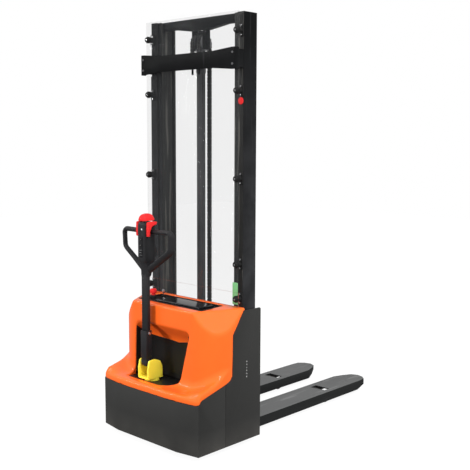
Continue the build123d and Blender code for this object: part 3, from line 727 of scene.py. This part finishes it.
def smooth_min(a, b, k):
    """The smaller value, with the same rounded crease."""
    return -smooth_max(-a, -b, k)


def ease(value, low, high):
    """0 below low, 1 above high, and an S-curve between: 3t^2 - 2t^3."""
    share = np.clip((value - low) / (high - low), 0.0, 1.0)
    return share * share * (3 - 2 * share)


SIDE, FACE_Y, CORNER = 387.0, 118.0, 168.0     # half width, upright face and plan radius of the hood's body
TURN = (242.0, 25.0)                           # where the shelf's corner facet starts, and its depth
SKIRT_TOP, SHELF_TOP = 305.0, 343.0
WELL_BACK = 212.0                              # the recess's back wall
POCKET_AT, POCKET_HALF, POCKET_FLOOR = 262, (258, 88), 750     # its middle in Y, its half size, its floor


def joint_line(y):
    """Height of the joint between the skirt and the hood."""
    return np.interp(y, [25.0, 48.0, 226.0], [305.0, 330.0, 376.0])


def panel_edge(z):
    """Depth of the side panel's front edge at a height."""
    return np.interp(z, [376, 392, 415, 636, 757, 766], [226, 262, 279, 284, 366, 420])


def shoulder(x, y, z):
    """Signed distance above the sloping facet of a top corner."""
    a, b, c = np.array([[279, 184, 765], [387, 373, 771], [387, 230, 640]], float)
    normal = np.cross(b - a, c - a)
    normal *= np.sign(normal[2]) / np.linalg.norm(normal)
    return (np.abs(x) - a[0]) * normal[0] + (y - a[1]) * normal[1] + (z - a[2]) * normal[2]


def footprint(x, y, inset):
    """Signed plan of the chassis: front, corner facets and sides."""
    run = SIDE - TURN[0]
    facet = ((np.abs(x) - TURN[0]) * TURN[1] - y * run) / math.hypot(run, TURN[1])
    return smooth_max(smooth_max(-y, facet, 18.0), np.abs(x) - SIDE, 10.0) + inset


def well(p):
    """The recess of the tiller foot, open to the front."""
    x, y, z = p[..., 0], p[..., 1], p[..., 2]
    left = -225 + 8 * (z - 416) / 211 - x
    right = x - 157 - 60 * (z - 403) / 224
    roof = z - 655 + 0.957 * (y - FACE_Y)
    inner = smooth_max(smooth_max(smooth_max(left, right, 6.0), y - WELL_BACK, 25.0), roof, 45.0)
    mouth = 61 - 4.0 * np.maximum(316 - z, 0.0)
    corner = mouth + (x - 42 - 0.28 * np.maximum(z - 403, 0.0)) * 0.509
    return smooth_max(inner, np.maximum(mouth, corner) - y, 8.0)


def hood(p):
    """The hood's field: body and shelf blended, tucked behind the skirt, then recess and pocket cut out."""
    x, y, z = p[..., 0], p[..., 1], p[..., 2]
    qx, qy = np.abs(x) - (SIDE - CORNER), FACE_Y + CORNER - y
    plan = np.hypot(np.maximum(qx, 0), np.maximum(qy, 0)) + np.minimum(np.maximum(qx, qy), 0) - CORNER
    body = smooth_max(smooth_max(plan, z - 765 - 0.033 * (y - 175), 14.0), shoulder(x, y, z), 7.0)
    rise = ease(np.abs(x), 240, SIDE) * (joint_line(y) - SKIRT_TOP)
    shelf = smooth_max(footprint(x, y, 0.0), z - SHELF_TOP - rise, 26.0)
    skin_field = smooth_min(body, shelf, 60.0)
    tucked = np.maximum(ease(joint_line(y) - z, -2.5, 2.5), ease(y - panel_edge(z), -2.5, 2.5))
    skin_field = smooth_max(skin_field, footprint(x, y, 8.0 * tucked), 3.0)
    skin_field = smooth_max(skin_field, -well(p), 9.0)
    pocket = np.maximum(np.abs(x) - POCKET_HALF[0], np.abs(y - POCKET_AT) - POCKET_HALF[1])
    pocket = np.maximum(pocket, POCKET_FLOOR - z)
    return smooth_max(skin_field, -pocket, 4.0)


def gradient(field, p, step=0.4):
    """Central differences of a field at points."""
    slope = np.empty_like(p)
    for axis in range(3):
        shift = np.zeros(3)
        shift[axis] = step
        slope[..., axis] = (field(p + shift) - field(p - shift)) / (2 * step)
    return slope


def onto(field, p, rounds=3, reach=6.0):
    """Moves points along the field's slope until they lie on its zero."""
    for _ in range(rounds):
        slope = gradient(field, p)
        size = np.maximum(np.sum(slope * slope, -1, keepdims=True), 0.05)
        move = slope * field(p)[..., None] / size
        length = np.linalg.norm(move, axis=-1, keepdims=True)
        p = p - move * np.minimum(1.0, reach / np.maximum(length, 1e-9))
    return p


def surface_net(field, low, high, step):
    """Quads round a field's inside: one point in each mixed cell, one quad over each crossed edge."""
    axes = [np.arange(a, b + step, step) for a, b in zip(low, high)]
    inside = field(np.stack(np.meshgrid(*axes, indexing="ij"), -1)) < 0
    corners = np.zeros(np.array(inside.shape) - 1, int)
    for i, j, k in np.ndindex(2, 2, 2):
        corners += inside[i:inside.shape[0] - 1 + i, j:inside.shape[1] - 1 + j, k:inside.shape[2] - 1 + k]
    mixed = (corners > 0) & (corners < 8)
    index = np.full(mixed.shape, -1)
    index[mixed] = np.arange(mixed.sum())
    points = np.asarray(low) + (np.argwhere(mixed) + 0.5) * step
    quads = []
    for axis in range(3):
        unit = np.eye(3, dtype=int)
        b, c = unit[(axis + 1) % 3], unit[(axis + 2) % 3]
        first = np.take(inside, range(inside.shape[axis] - 1), axis)
        second = np.take(inside, range(1, inside.shape[axis]), axis)
        edge = np.argwhere(first != second)
        room = ((edge - b - c >= 0) & (edge < np.array(index.shape))).all(1)
        edge = edge[room]
        ring = np.stack([index[tuple((edge - shift).T)] for shift in (0 * b, b, b + c, c)], 1)
        flip = ~first[tuple(edge.T)]
        ring[flip] = ring[flip][:, ::-1]
        quads.append(ring)
    quads = np.vstack(quads)
    return points, quads[(quads >= 0).all(1)]


def relaxed(field, points, quads, rounds=3):
    """Evens out the net: each point moves halfway to its neighbours' middle, then back onto the field."""
    points = onto(field, points)
    ends = np.vstack([quads[:, [i, (i + 1) % 4]] for i in range(4)])
    for _ in range(rounds):
        total, count = np.zeros_like(points), np.zeros(len(points))
        for a, b in ((0, 1), (1, 0)):
            np.add.at(total, ends[:, a], points[ends[:, b]])
            np.add.at(count, ends[:, a], 1)
        points = onto(field, points + (total / count[:, None] - points) * 0.5, rounds=2)
    return points


# %% The hood's skin
HOOD_STEP, HOOD_SKIN = 5.0, 3.5       # width of the net's cells, and the thickness of the moulding
HOOD_LOW, HOOD_HIGH = (-397.5, -7.5, 292.5), (397.5, 385.0, 785.0)
HOOD_BACK, HOOD_FOOT = 372.0, 305.8   # where the hood is trimmed behind and below


def trimmed(mesh, at, normal):
    """Cuts away what lies on a plane's outer side."""
    everything = mesh.verts[:] + mesh.edges[:] + mesh.faces[:]
    bmesh.ops.bisect_plane(mesh, geom=everything, dist=1e-6, plane_co=row(at), plane_no=normal,
                           clear_outer=True)


def hood_skin():
    """The hood's field skinned, trimmed at its back and foot, and given the wall of a moulding."""
    points, quads = surface_net(hood, HOOD_LOW, HOOD_HIGH, HOOD_STEP)
    points = relaxed(hood, points, quads)
    data = raw_mesh("hood_skin", points, quads.tolist())
    mesh = bmesh.new()
    mesh.from_mesh(data)
    trimmed(mesh, (0, HOOD_BACK, 0), (0, 1, 0))
    trimmed(mesh, (0, 0, HOOD_FOOT), (0, 0, -1))
    loose = [v for v in mesh.verts if not v.link_faces]
    bmesh.ops.delete(mesh, geom=loose, context="VERTS")
    mesh.to_mesh(data)
    mesh.free()
    data.shade_smooth()
    made = piece("hood_skin", data, "chassis", "hood_orange", replaces=["hood_cover"])
    walled(made, HOOD_SKIN)
    print("hood quads:", len(data.polygons))


hood_skin()


# %% [markdown]
# ## The black liner of the recess
# The liner follows the recess's own field, a little inside it. Its rim dips in the middle of the back wall
# and climbs to the hood's face on both sides. Its floor has a round hole for the steering column.

# %% Well liner
COLUMN = (-85.0, 120.0)               # steering axis, X and Y
LINER_GAP, LINER_FLOOR, LINER_THICK = 2.6, 338.0, 1.8
LEFT_WALL, BACK_WALL, RIGHT_WALL = 0.22, 0.58, 0.20    # each wall's share of the liner's columns


def liner_walls(columns=84, rows=22):
    """U-shaped wall: left side, round corner, back, round corner, right side."""
    share = np.linspace(0, 1, columns)[:, None]
    back, front, turn = WELL_BACK - LINER_GAP, FACE_Y + 5.0, 24.0
    rim_left = np.interp(share, [0.0, LEFT_WALL], [622.0, 572.0])
    rim_back = np.interp(share, [LEFT_WALL, 0.42, 0.60, 0.80], [572.0, 564.0, 556.0, 594.0])
    rim = np.where(share < LEFT_WALL, rim_left, rim_back) + np.interp(share, [0.80, 1.0], [0.0, 34.0])
    z = LINER_FLOOR + (rim - LINER_FLOOR) * np.linspace(0, 1, rows)[None, :]
    left = -225 + 8 * (z - 416) / 211 + LINER_GAP
    right = 157 + 60 * np.maximum(z - 403, -12) / 224 - LINER_GAP
    along = np.clip((share - LEFT_WALL) / BACK_WALL, 0.0, 1.0)
    x = left + (right - left) * along
    depth = np.where(share < 0.5, share / LEFT_WALL, (1 - share) / RIGHT_WALL)
    y = front + (back - front) * np.clip(depth, 0.0, 1.0)
    corner = np.minimum(x - left, right - x)
    y = np.where((along > 0) & (along < 1), back - turn * np.maximum(1 - corner / turn, 0.0) ** 2 * 0.6, y)
    points = np.stack([x, y, z], -1).reshape(-1, 3)
    points = onto(lambda p: well(p) + LINER_GAP, points, rounds=2, reach=12.0)
    points[:, 1] = np.maximum(points[:, 1], front)
    points[:, 2] = np.maximum(points[:, 2], LINER_FLOOR)
    faces = [(i * rows + j, (i + 1) * rows + j, (i + 1) * rows + j + 1, i * rows + j + 1)
             for i in range(columns - 1) for j in range(rows - 1)]
    return points, faces


def liner_floor(hole=50.0, thick=4.0, sides=96):
    """Floor plate round the steering column, cut to the recess's plan."""
    outline = np.array([(-223, 63.5), (41, 63.5), (150, 118), (150, 209), (-223, 209)], float)
    angle = np.linspace(0, 2 * np.pi, sides, endpoint=False)
    ray = np.stack([np.cos(angle), np.sin(angle)], 1)
    reach = np.full(sides, 1e9)
    for a, b in zip(outline, np.roll(outline, -1, 0)):
        normal = np.array([b[1] - a[1], a[0] - b[0]])
        facing = ray @ normal
        distance = np.divide((a - COLUMN) @ normal, facing, out=np.full(sides, 1e9), where=facing > 1e-6)
        reach = np.minimum(reach, distance)
    rings = []
    bore = np.full(sides, hole)
    for radius, height in ((reach, 0), (reach, thick), (bore, thick), (bore, 0)):
        level = np.full(sides, LINER_FLOOR - thick + height)
        rings.append(np.column_stack([COLUMN + ray * radius[:, None], level]))
    return loft(rings, loop=True)


def liner():
    """The liner's walls and its floor."""
    points, faces = liner_walls()
    data = raw_mesh("well_liner_walls", points, faces)
    data.shade_smooth()
    walled(piece("well_liner_walls", data, "chassis", "black_plastic"), LINER_THICK, 0.0)
    skinned("well_liner_floor", liner_floor(), "chassis", "black_plastic", replaces=["well_liner"])


liner()


# %% [markdown]
# ## Leaf chains
# Each chain is stacked plates on pins. The short front run ends at the anchor bracket, the rear run at the
# carriage, and the wrap between them lies over the sheave, which turns beneath it.

# %% Chains
PITCH, PLATE_HIGH, CHAIN_X = 19.05, 18.0, 26.0
SHEAVE = (424.0, 2195.0)              # Y and Z of the sheave pin
WRAP_R = 40.0
LEAVES = ((-11.6, -8.4), (-1.7, 1.7), (8.4, 11.6)), ((-7.8, -2.3), (2.3, 7.8))


def link_outline():
    """A chain plate's outline: two round ends joined by a waist, along its own length and width."""
    half, radius, waist = PITCH / 2, PLATE_HIGH / 2, PLATE_HIGH * 0.31
    turn = np.linspace(-1.15, 1.15, 7)
    right = np.stack([half + radius * np.cos(turn), radius * np.sin(turn)], 1)
    return np.vstack([right, [(0.0, waist)], -right, [(0.0, -waist)]])


def chain(path, x):
    """Plates and pins along points in the YZ plane spaced one pitch apart."""
    outline, shapes = link_outline(), []
    for i, (a, b) in enumerate(zip(path[:-1], path[1:])):
        ahead = (b - a) / np.linalg.norm(b - a)
        flat = (a + b) / 2 + outline[:, :1] * ahead + outline[:, 1:] * np.array([-ahead[1], ahead[0]])
        for low, high in LEAVES[i % 2]:
            rings = [np.column_stack([np.full(len(flat), x + side), flat]) for side in (low, high)]
            shapes.append(loft(rings))
    for y, z in path:
        shapes.append(lathe([(3.0, -12.2), (3.0, 12.2)], (x, y, z), "x", 8))
    return join(shapes)


def straight_run(y, low, high):
    """Pin places up a straight chain, as near to one pitch apart as fits."""
    count = int(round((high - low) / PITCH))
    return np.column_stack([np.full(count + 1, y), np.linspace(low, high, count + 1)])


FRONT_END, REAR_END = 2084.0, 466.0   # heights where the chains are anchored


def chains():
    """Both chains in three parts: the wrap rides on the inner mast, the two straight parts on no body."""
    turn = np.linspace(0, np.pi, int(round(np.pi * WRAP_R / PITCH)) + 1)
    wrap = np.column_stack([SHEAVE[0] - WRAP_R * np.cos(turn), SHEAVE[1] + WRAP_R * np.sin(turn)])
    front = straight_run(SHEAVE[0] - WRAP_R, FRONT_END, SHEAVE[1])
    rear = straight_run(SHEAVE[0] + WRAP_R, REAR_END, SHEAVE[1])
    made = {}
    for part, path in (("front", front), ("wrap", wrap), ("rear", rear)):
        name = f"chain_{part}_links"
        shape = join([chain(path, side * CHAIN_X) for side in (-1, 1)])
        made[part] = placed(name, skin(name, shape, smooth=False))
        made[part].data.materials.append(MATERIAL["chain_steel"])
    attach(made["wrap"], "inner_mast")
    for part, path, fixed in (("front", front, "chassis"), ("rear", rear, "carriage")):
        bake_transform(made[part])
        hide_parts(f"chain_{part}_runs")


chains()


# %% [markdown]
# ## Tiller: sleeve, tube, handle and head
# The handle is moulded round the tube: two closed grips that sweep down into a thick neck. The head is a tall
# rounded block with a keypad on its front, a butterfly throttle through it and the red belly switch on top.

# %% Tiller
TILLER_X, TUBE_Y, LOOP_Y = COLUMN[0], 82.0, 98.0
HEAD_MIDDLE, HEAD_HALF = (TILLER_X, 90.0), (31.0, 40.0)
THROTTLE = (68.0, 1186.0)             # Y and Z of the throttle's spindle
PIVOT = (88.0, 440.0)                 # Y and Z of the pin that the tiller tilts on


def head_shape():
    """Closed stack of level superellipses from the neck's collar to the shoulder under the dome."""
    a, b = HEAD_HALF
    steps = [(996, 6, 9, 3.6), (1002, 2.5, 4, 4.6), (1012, 0.5, 1, 6.5), (1030, 0, 0, 7.5), (1190, 0, 0, 7.5),
             (1208, 0.6, 0.6, 6.5), (1217, 2.5, 3, 5.0), (1222, 6, 7, 4.0)]
    return loft([oval((*HEAD_MIDDLE, z), (a - inset, b - deep), power, 72)
                 for z, inset, deep, power in steps])


def dome_shape():
    """The belly switch: a red cap over the whole head, with a soft crown."""
    a, b, brim, rise = 31.4, 44.0, 1236.0, 32.0
    steps = [(1228.6, a - 3, b - 4, 3.4), (1230.6, a - 0.6, b - 1, 3.2), (brim, a, b, 3.0)]
    for share in np.linspace(0.12, 0.98, 10):
        turn = share * math.pi / 2
        narrow = math.cos(turn) ** 0.85
        steps.append((brim + rise * math.sin(turn), a * narrow, b * narrow, 2.6))
    return loft([oval((*HEAD_MIDDLE, z), (a, b), power, 56) for z, a, b, power in steps])


def neck_shape():
    """The handle's neck: superellipses that widen from the tube to the head's collar."""
    steps = [(923, 26.5, 16.5, 84, 4.0), (930, 28, 19, 86, 4.0), (946, 29, 22, 88, 3.6),
             (975, 29.5, 27, 90, 3.4), (992, 29.5, 30, 88, 3.6), (1000, 29, 31, 87, 4.0)]
    return loft([oval((TILLER_X, y, z), (a, b), power, 48) for z, a, b, y, power in steps])


PATH_STEP = 8.0                       # longest stretch between two rings of a grip


def bend(corners, radius):
    """Points along an open run of corners, each corner an arc of its own radius."""
    corners = [np.asarray(c, float) for c in corners]
    around = zip(corners[:-2], corners[1:-1], corners[2:], radius)
    arcs = [arc(before, corner, after, r, 9) for before, corner, after, r in around]
    points = np.vstack([corners[0], *arcs, corners[-1]])
    path = [points[0]]
    for a, b in zip(points[:-1], points[1:]):
        count = max(1, int(np.linalg.norm(b - a) // PATH_STEP))
        path += [a + (b - a) * (i + 1) / count for i in range(count)]
    return np.array(path)


def grip_shape(side):
    """One grip: out from the head's side, down its outer bar and back into the neck."""
    x = TILLER_X
    corners = [(x + side * 28, LOOP_Y, 1170), (x + side * 196, LOOP_Y, 1172), (x + side * 190, LOOP_Y, 1072),
               (x + side * 8, LOOP_Y - 8, 952)]
    path = bend(corners, (24, 34))
    run = np.concatenate([[0], np.cumsum(np.linalg.norm(np.diff(path, axis=0), axis=1))])
    share = run / run[-1]
    wide = np.interp(share, [0, 0.30, 0.42, 0.75, 1.0], [13.5, 13.5, 13, 14, 18])
    deep = np.interp(share, [0, 0.30, 0.42, 0.75, 1.0], [14.0, 15.0, 20.5, 20, 22])
    lean = np.interp(share, [0.25, 0.42], [0.0, -0.72]) * side
    return tube(path, np.column_stack([wide, deep]), 24, lean=lean)


def wing_shape(side):
    """One thumb lever of the throttle: a spur that points back, and a lobe that hangs beside the head."""
    outline = [(-8, 37), (18, 41), (58, 38), (48, 20), (19, 10), (9, -14), (3, -42), (-9, -42), (-10, -8)]
    outline = rounded(np.array(outline) + THROTTLE, (8, 22, 5, 5, 9, 20, 6, 6, 30))
    ends = sorted(TILLER_X + side * (HEAD_HALF[0] + away) for away in (1.2, 23.0))
    return pillow(outline, ends, "x", 6.0)


def tiller():
    """Head, handle, belly switch and throttle, each on its own body."""
    skinned("tiller_head_skin", head_shape(), "tiller", "handle_black", replaces=["tiller_head"])
    handle = join([neck_shape(), grip_shape(1), grip_shape(-1)])
    skinned("handle_skin", handle, "tiller", "handle_black", replaces=["handle_loops"])
    skinned("belly_switch_skin", dome_shape(), "belly_switch", "signal_red", replaces=["belly_switch"])
    spindle = lathe([(6, -37), (6, 37)], (TILLER_X, *THROTTLE), "x", 24)
    wings = join([spindle, wing_shape(1), wing_shape(-1)])
    skinned("throttle_skin", wings, "throttle", "signal_red", replaces=["throttle_wings"])


def keypad():
    """Raised strip on the head's front with four generic marks, and a round cap on each button."""
    front = HEAD_MIDDLE[1] - HEAD_HALF[1]
    outline = rectangle((1030, TILLER_X - 15), (1146, TILLER_X + 15), 9)
    strip = pillow(outline, (front - 2.2, front + 3), "y", 1.2, 4)
    skinned("keypad_strip", strip, "tiller", "black_plastic", material="display_black")
    marks = []
    for z in (1042, 1056, 1070):
        marks.append(lathe([(2.2, 0.0), (2.2, -0.5)], (TILLER_X - 5, front - 2.1, z), "y", 12))
        marks.append(slab((TILLER_X, TILLER_X + 9), (front - 2.7, front - 2.1), (z - 1, z + 1), 0.2))
    skinned("keypad_marks", join(marks), "tiller", "button_grey")
    lamp = lathe([(4.6, 1.0), (4.6, -0.8), (3.6, -1.8), (1.6, -2.3)], (TILLER_X + 8, front, 1184), "y", 28)
    skinned("status_lamp", lamp, "tiller", "button_grey", material="mark_white")
    for node, z in (("lift_button", 1128), ("lower_button", 1096)):
        cap = lathe([(7.6, 3.0), (7.6, -4.2), (6.8, -5.4), (4.5, -5.8), (2.0, -5.4)],
                    (TILLER_X, front + 1.5, z), "y", 32)
        arrow = 1 if node == "lift_button" else -1
        tip, foot = z + 2.4 * arrow, z - 2.2 * arrow
        chevron = pillow([(foot, TILLER_X - 3), (tip, TILLER_X), (foot, TILLER_X + 3)],
                         (front - 4.9, front - 4.1), "y", 0.2, 3)
        skinned(node + "_cap", cap, node, "button_grey", material="black_plastic", replaces=[node])
        skinned(node + "_arrow", chevron, node, "button_grey")


def sleeve():
    """The side bolt of the steel sleeve at the tiller's foot, and the two coiled return springs."""
    bolt = lathe([(9.5, 25), (9.5, 27), (7.5, 27.2), (7.5, 32), (6.4, 33), (3.5, 33), (3.0, 31)],
                 (TILLER_X, TUBE_Y, 606), "x", 24)
    skinned("sleeve_bolt_skin", bolt, "tiller", "bright_steel", replaces=["sleeve_bolt"])
    turns, coil_r, wire = 3.6, 15.5, 1.35
    angle = np.linspace(0, 2 * np.pi * turns, int(turns * 20))
    springs = []
    for side in (-1, 1):
        x = TILLER_X + side * (22.8 + 8.4 * angle / angle[-1])
        path = np.column_stack([x, PIVOT[0] + coil_r * np.cos(angle), PIVOT[1] + coil_r * np.sin(angle)])
        springs.append(tube(path, (wire, wire), 8, frame_normal=(1, 0, 0)))
    skinned("return_spring_coils", join(springs), "drive_turntable", "bright_steel",
            replaces=["tiller_return_springs"])


def yoke():
    """Cast yoke: two round-cornered cheeks on a turntable, with the pivot pin let into them."""
    outline = rounded([(57, 350), (164, 350), (162, 412), (146, 446), (108, 459), (66, 456), (56, 408)],
                      (5, 6, 30, 16, 24, 13, 40), 6)
    middles = [TILLER_X + side * 38 for side in (-1, 1)]
    cheeks = [pillow(outline, (x - 6, x + 6), "x", 3.2) for x in middles]
    bed = slab((TILLER_X - 43, TILLER_X + 43), (60, 166), (348, 360), 2.0)
    turntable = lathe([(42, 322), (42, 350), (40, 352)], (*COLUMN, 0), "z", 56)
    shape = join(cheeks + [bed, turntable])
    skinned("yoke_skin", shape, "drive_turntable", "safety_yellow", replaces=["tiller_yoke"])
    pin = lathe([(11.6, -36), (11.6, 36)], (TILLER_X, *PIVOT), "x", 32)
    skinned("pivot_pin_skin", pin, "drive_turntable", "bright_steel", replaces=["tiller_pivot_pin"])


tiller()
keypad()
sleeve()
yoke()


# %% [markdown]
# ## Small pieces
# The guard is held by ten clamps. Their screws, the tie plate's screws and the blank labels are small, but
# they give the eye the size of the mast. The stop button, ram, sheaves and wheels are turned profiles.

# %% Guard clamps, labels and screws
CLAMP_Z = (818.0, 1006.0, 1463.0, 1923.0, 2233.0)
CLAMP_X, GUARD_Y = 350.0, (341.0, 345.0)       # the guard sheet lies between the two depths
CLAMP_PLATE_Y = (371.6, 378.9)
LABEL_Y = (377.6, 378.8)


def clamps():
    """Each clamp: a round knob and plate in front of the sheet, a stem behind, and a foot on the upright."""
    knob = [(19, 0.0), (19, -3.0), (16, -4.6), (14, -12), (12.2, -14), (8, -14.4), (6.5, -11)]
    stem = [(18.5, 0.2), (18.5, 4.6), (13, 5.0), (13, 33.0)]
    centre_screw = [(5.5, -10.5), (5.5, -13.4), (4.6, -15), (2.6, -15), (2.2, -12)]
    shapes, screws = [], []
    for z in CLAMP_Z:
        for side in (-1, 1):
            x = side * CLAMP_X
            shapes.append(lathe(knob, (x, GUARD_Y[0] - 0.2, z), "y", 28))
            shapes.append(lathe(stem, (x, GUARD_Y[1], z), "y", 28))
            plate = rectangle((z - 31, x - 15), (z + 31, x + 15), 8, 5)
            shapes.append(pillow(plate, CLAMP_PLATE_Y, "y", 1.4, 3))
            screws.append(lathe(centre_screw, (x, GUARD_Y[0], z), "y", 16))
            for up in (-23, 23):
                screws.append(socket_screw((x, 371.8, z + up), "y", 5.0, -1))
    skinned("guard_clamps", join(shapes), "chassis", "black_plastic", replaces=["guard_clips"])
    skinned("clamp_screws", join(screws), "chassis", "bright_steel")


def labels():
    """The red disc and the blank green label on the right upright, and six plain dots on the side panel."""
    disc = lathe([(19, 0.0), (19, -0.9), (18.2, -1.3)], (345, LABEL_Y[1], 1871), "y", 40)
    skinned("red_disc", disc, "chassis", "signal_red")
    green = pillow(rectangle((779, 290), (899, 329), 3, 3), LABEL_Y, "y", 0.3, 3)
    skinned("blank_label", green, "chassis", "button_grey", material="label_green")
    marks = [lathe([(2.6, -0.2), (2.6, 0.15)], (SIDE, 390, z), "x", 16) for z in np.linspace(390, 474, 6)]
    skinned("panel_marks", join(marks), "chassis", "button_grey", material="mark_white")


def fixings():
    """Two socket screws at each end of the upper tie plate."""
    places = [(side * 352, 305.2, z) for side in (-1, 1) for z in (2058, 2117)]
    screws = [socket_screw(place, "y", 6.0, -1) for place in places]
    skinned("tie_screws", join(screws), "chassis", "bright_steel", material="gear_grey")


clamps()
labels()
fixings()


# %% Stop button, key, cylinder, sheaves and wheels
STOP_AT, KEY_AT, CONTROLS_Z = (-230.0, 262.0), (-205.0, 318.0), 768.0


def stop_and_key():
    """The stop button's mushroom, the key with its round bow, and the collar that each stands in."""
    top = CONTROLS_Z
    mushroom = [(11, 3.2), (11, 17), (19, 18.5), (20, 22), (20, 34), (18.4, 40), (14, 44), (8, 45)]
    skinned("stop_mushroom", lathe(mushroom, (*STOP_AT, top)), "emergency_stop", "signal_red",
            replaces=["emergency_stop"])
    bow = rectangle((top + 12, KEY_AT[0] - 12), (top + 36, KEY_AT[0] + 12), 9)
    shank = lathe([(2.9, 2.4), (2.9, 14)], (*KEY_AT, top), "z", 20)
    key = join([pillow(bow, (KEY_AT[1] - 1.4, KEY_AT[1] + 1.4), "y", 1.0, 3), shank])
    skinned("key_skin", key, "ignition_key", "bright_steel", replaces=["ignition_key"])
    stop_collar = [(18, -12), (18, 6), (16.5, 8), (12.2, 8), (12.0, -8)]
    key_collar = [(12, -12), (12, 0.6), (10.8, 2.0), (4, 2.0), (3.6, 0.5)]
    collars = join([lathe(stop_collar, (*STOP_AT, top)), lathe(key_collar, (*KEY_AT, top))])
    skinned("collars_skin", collars, "chassis", "black_plastic", replaces=["switch_collars"])


def cylinder():
    """The ram's barrel with its gland, and the bore that the rod comes out of."""
    barrel = [(24, 84), (24, 2030), (25.5, 2032), (27, 2036), (27, 2062), (25.5, 2066), (17.2, 2066),
              (16.8, 2050)]
    skinned("barrel_skin", lathe(barrel, (0, SHEAVE[0], 0), "z", 56), "chassis", "mast_black",
            material="barrel_black", replaces=["lift_cylinder"])


def sheaves():
    """Grooved chain sheaves: bore, hub, a turned ring in the web, rim, flange tip and groove."""
    half = [(9.1, -14.6), (18, -14.6), (20, -11), (26, -11), (28, -14.6), (42, -14.6), (43, -13.8),
            (43, -13.2), (30.4, -12.9)]
    shapes = [lathe(both_sides(half), (side * CHAIN_X, *SHEAVE), "x", 56, loop=True) for side in (-1, 1)]
    skinned("sheave_skins", join(shapes), "sheaves", "roller_steel", replaces=["chain_sheaves"])


def wheel(node, centre, half, radius, bore, hub):
    """A tyre with rounded shoulders, and a recessed hub disc inside it."""
    tyre_in = radius * 0.68
    edge = [(tyre_in, -half), (radius - 3, -half), (radius - 0.8, -half + 0.9), (radius, -half + 3)]
    tyre = lathe(both_sides(edge), centre, "x", 72, loop=True)
    dish = [(bore, -half + 1), (bore + 5, -half + 1), (bore + 6, -half + 5), (tyre_in - 3, -half + 5),
            (tyre_in - 2, -half + 1), (tyre_in + 0.4, -half + 1)]
    disc = lathe(both_sides(dish), centre, "x", 48, loop=True)
    skinned(node + "_tyre", tyre, BODY[node], "tread", replaces=[node])
    skinned(node + "_hub", disc, BODY[node], "tread", material=hub)


def wheels():
    """The caster wheels, the forks' load rollers and the drive wheel."""
    for name, side in (("left", -1), ("right", 1)):
        wheel(f"caster_wheel_{name}", (side * 300, 100, 37.5), 15, 37.4, 6.1, "gear_grey")
        wheel(f"load_roller_{name}", (side * 197, 1294, 37), 49.5, 36.9, 8.2, "roller_steel")
    wheel("drive_wheel", (*COLUMN, 105), 30, 104.8, 12.2, "gear_grey")


stop_and_key()
cylinder()
sheaves()
wheels()
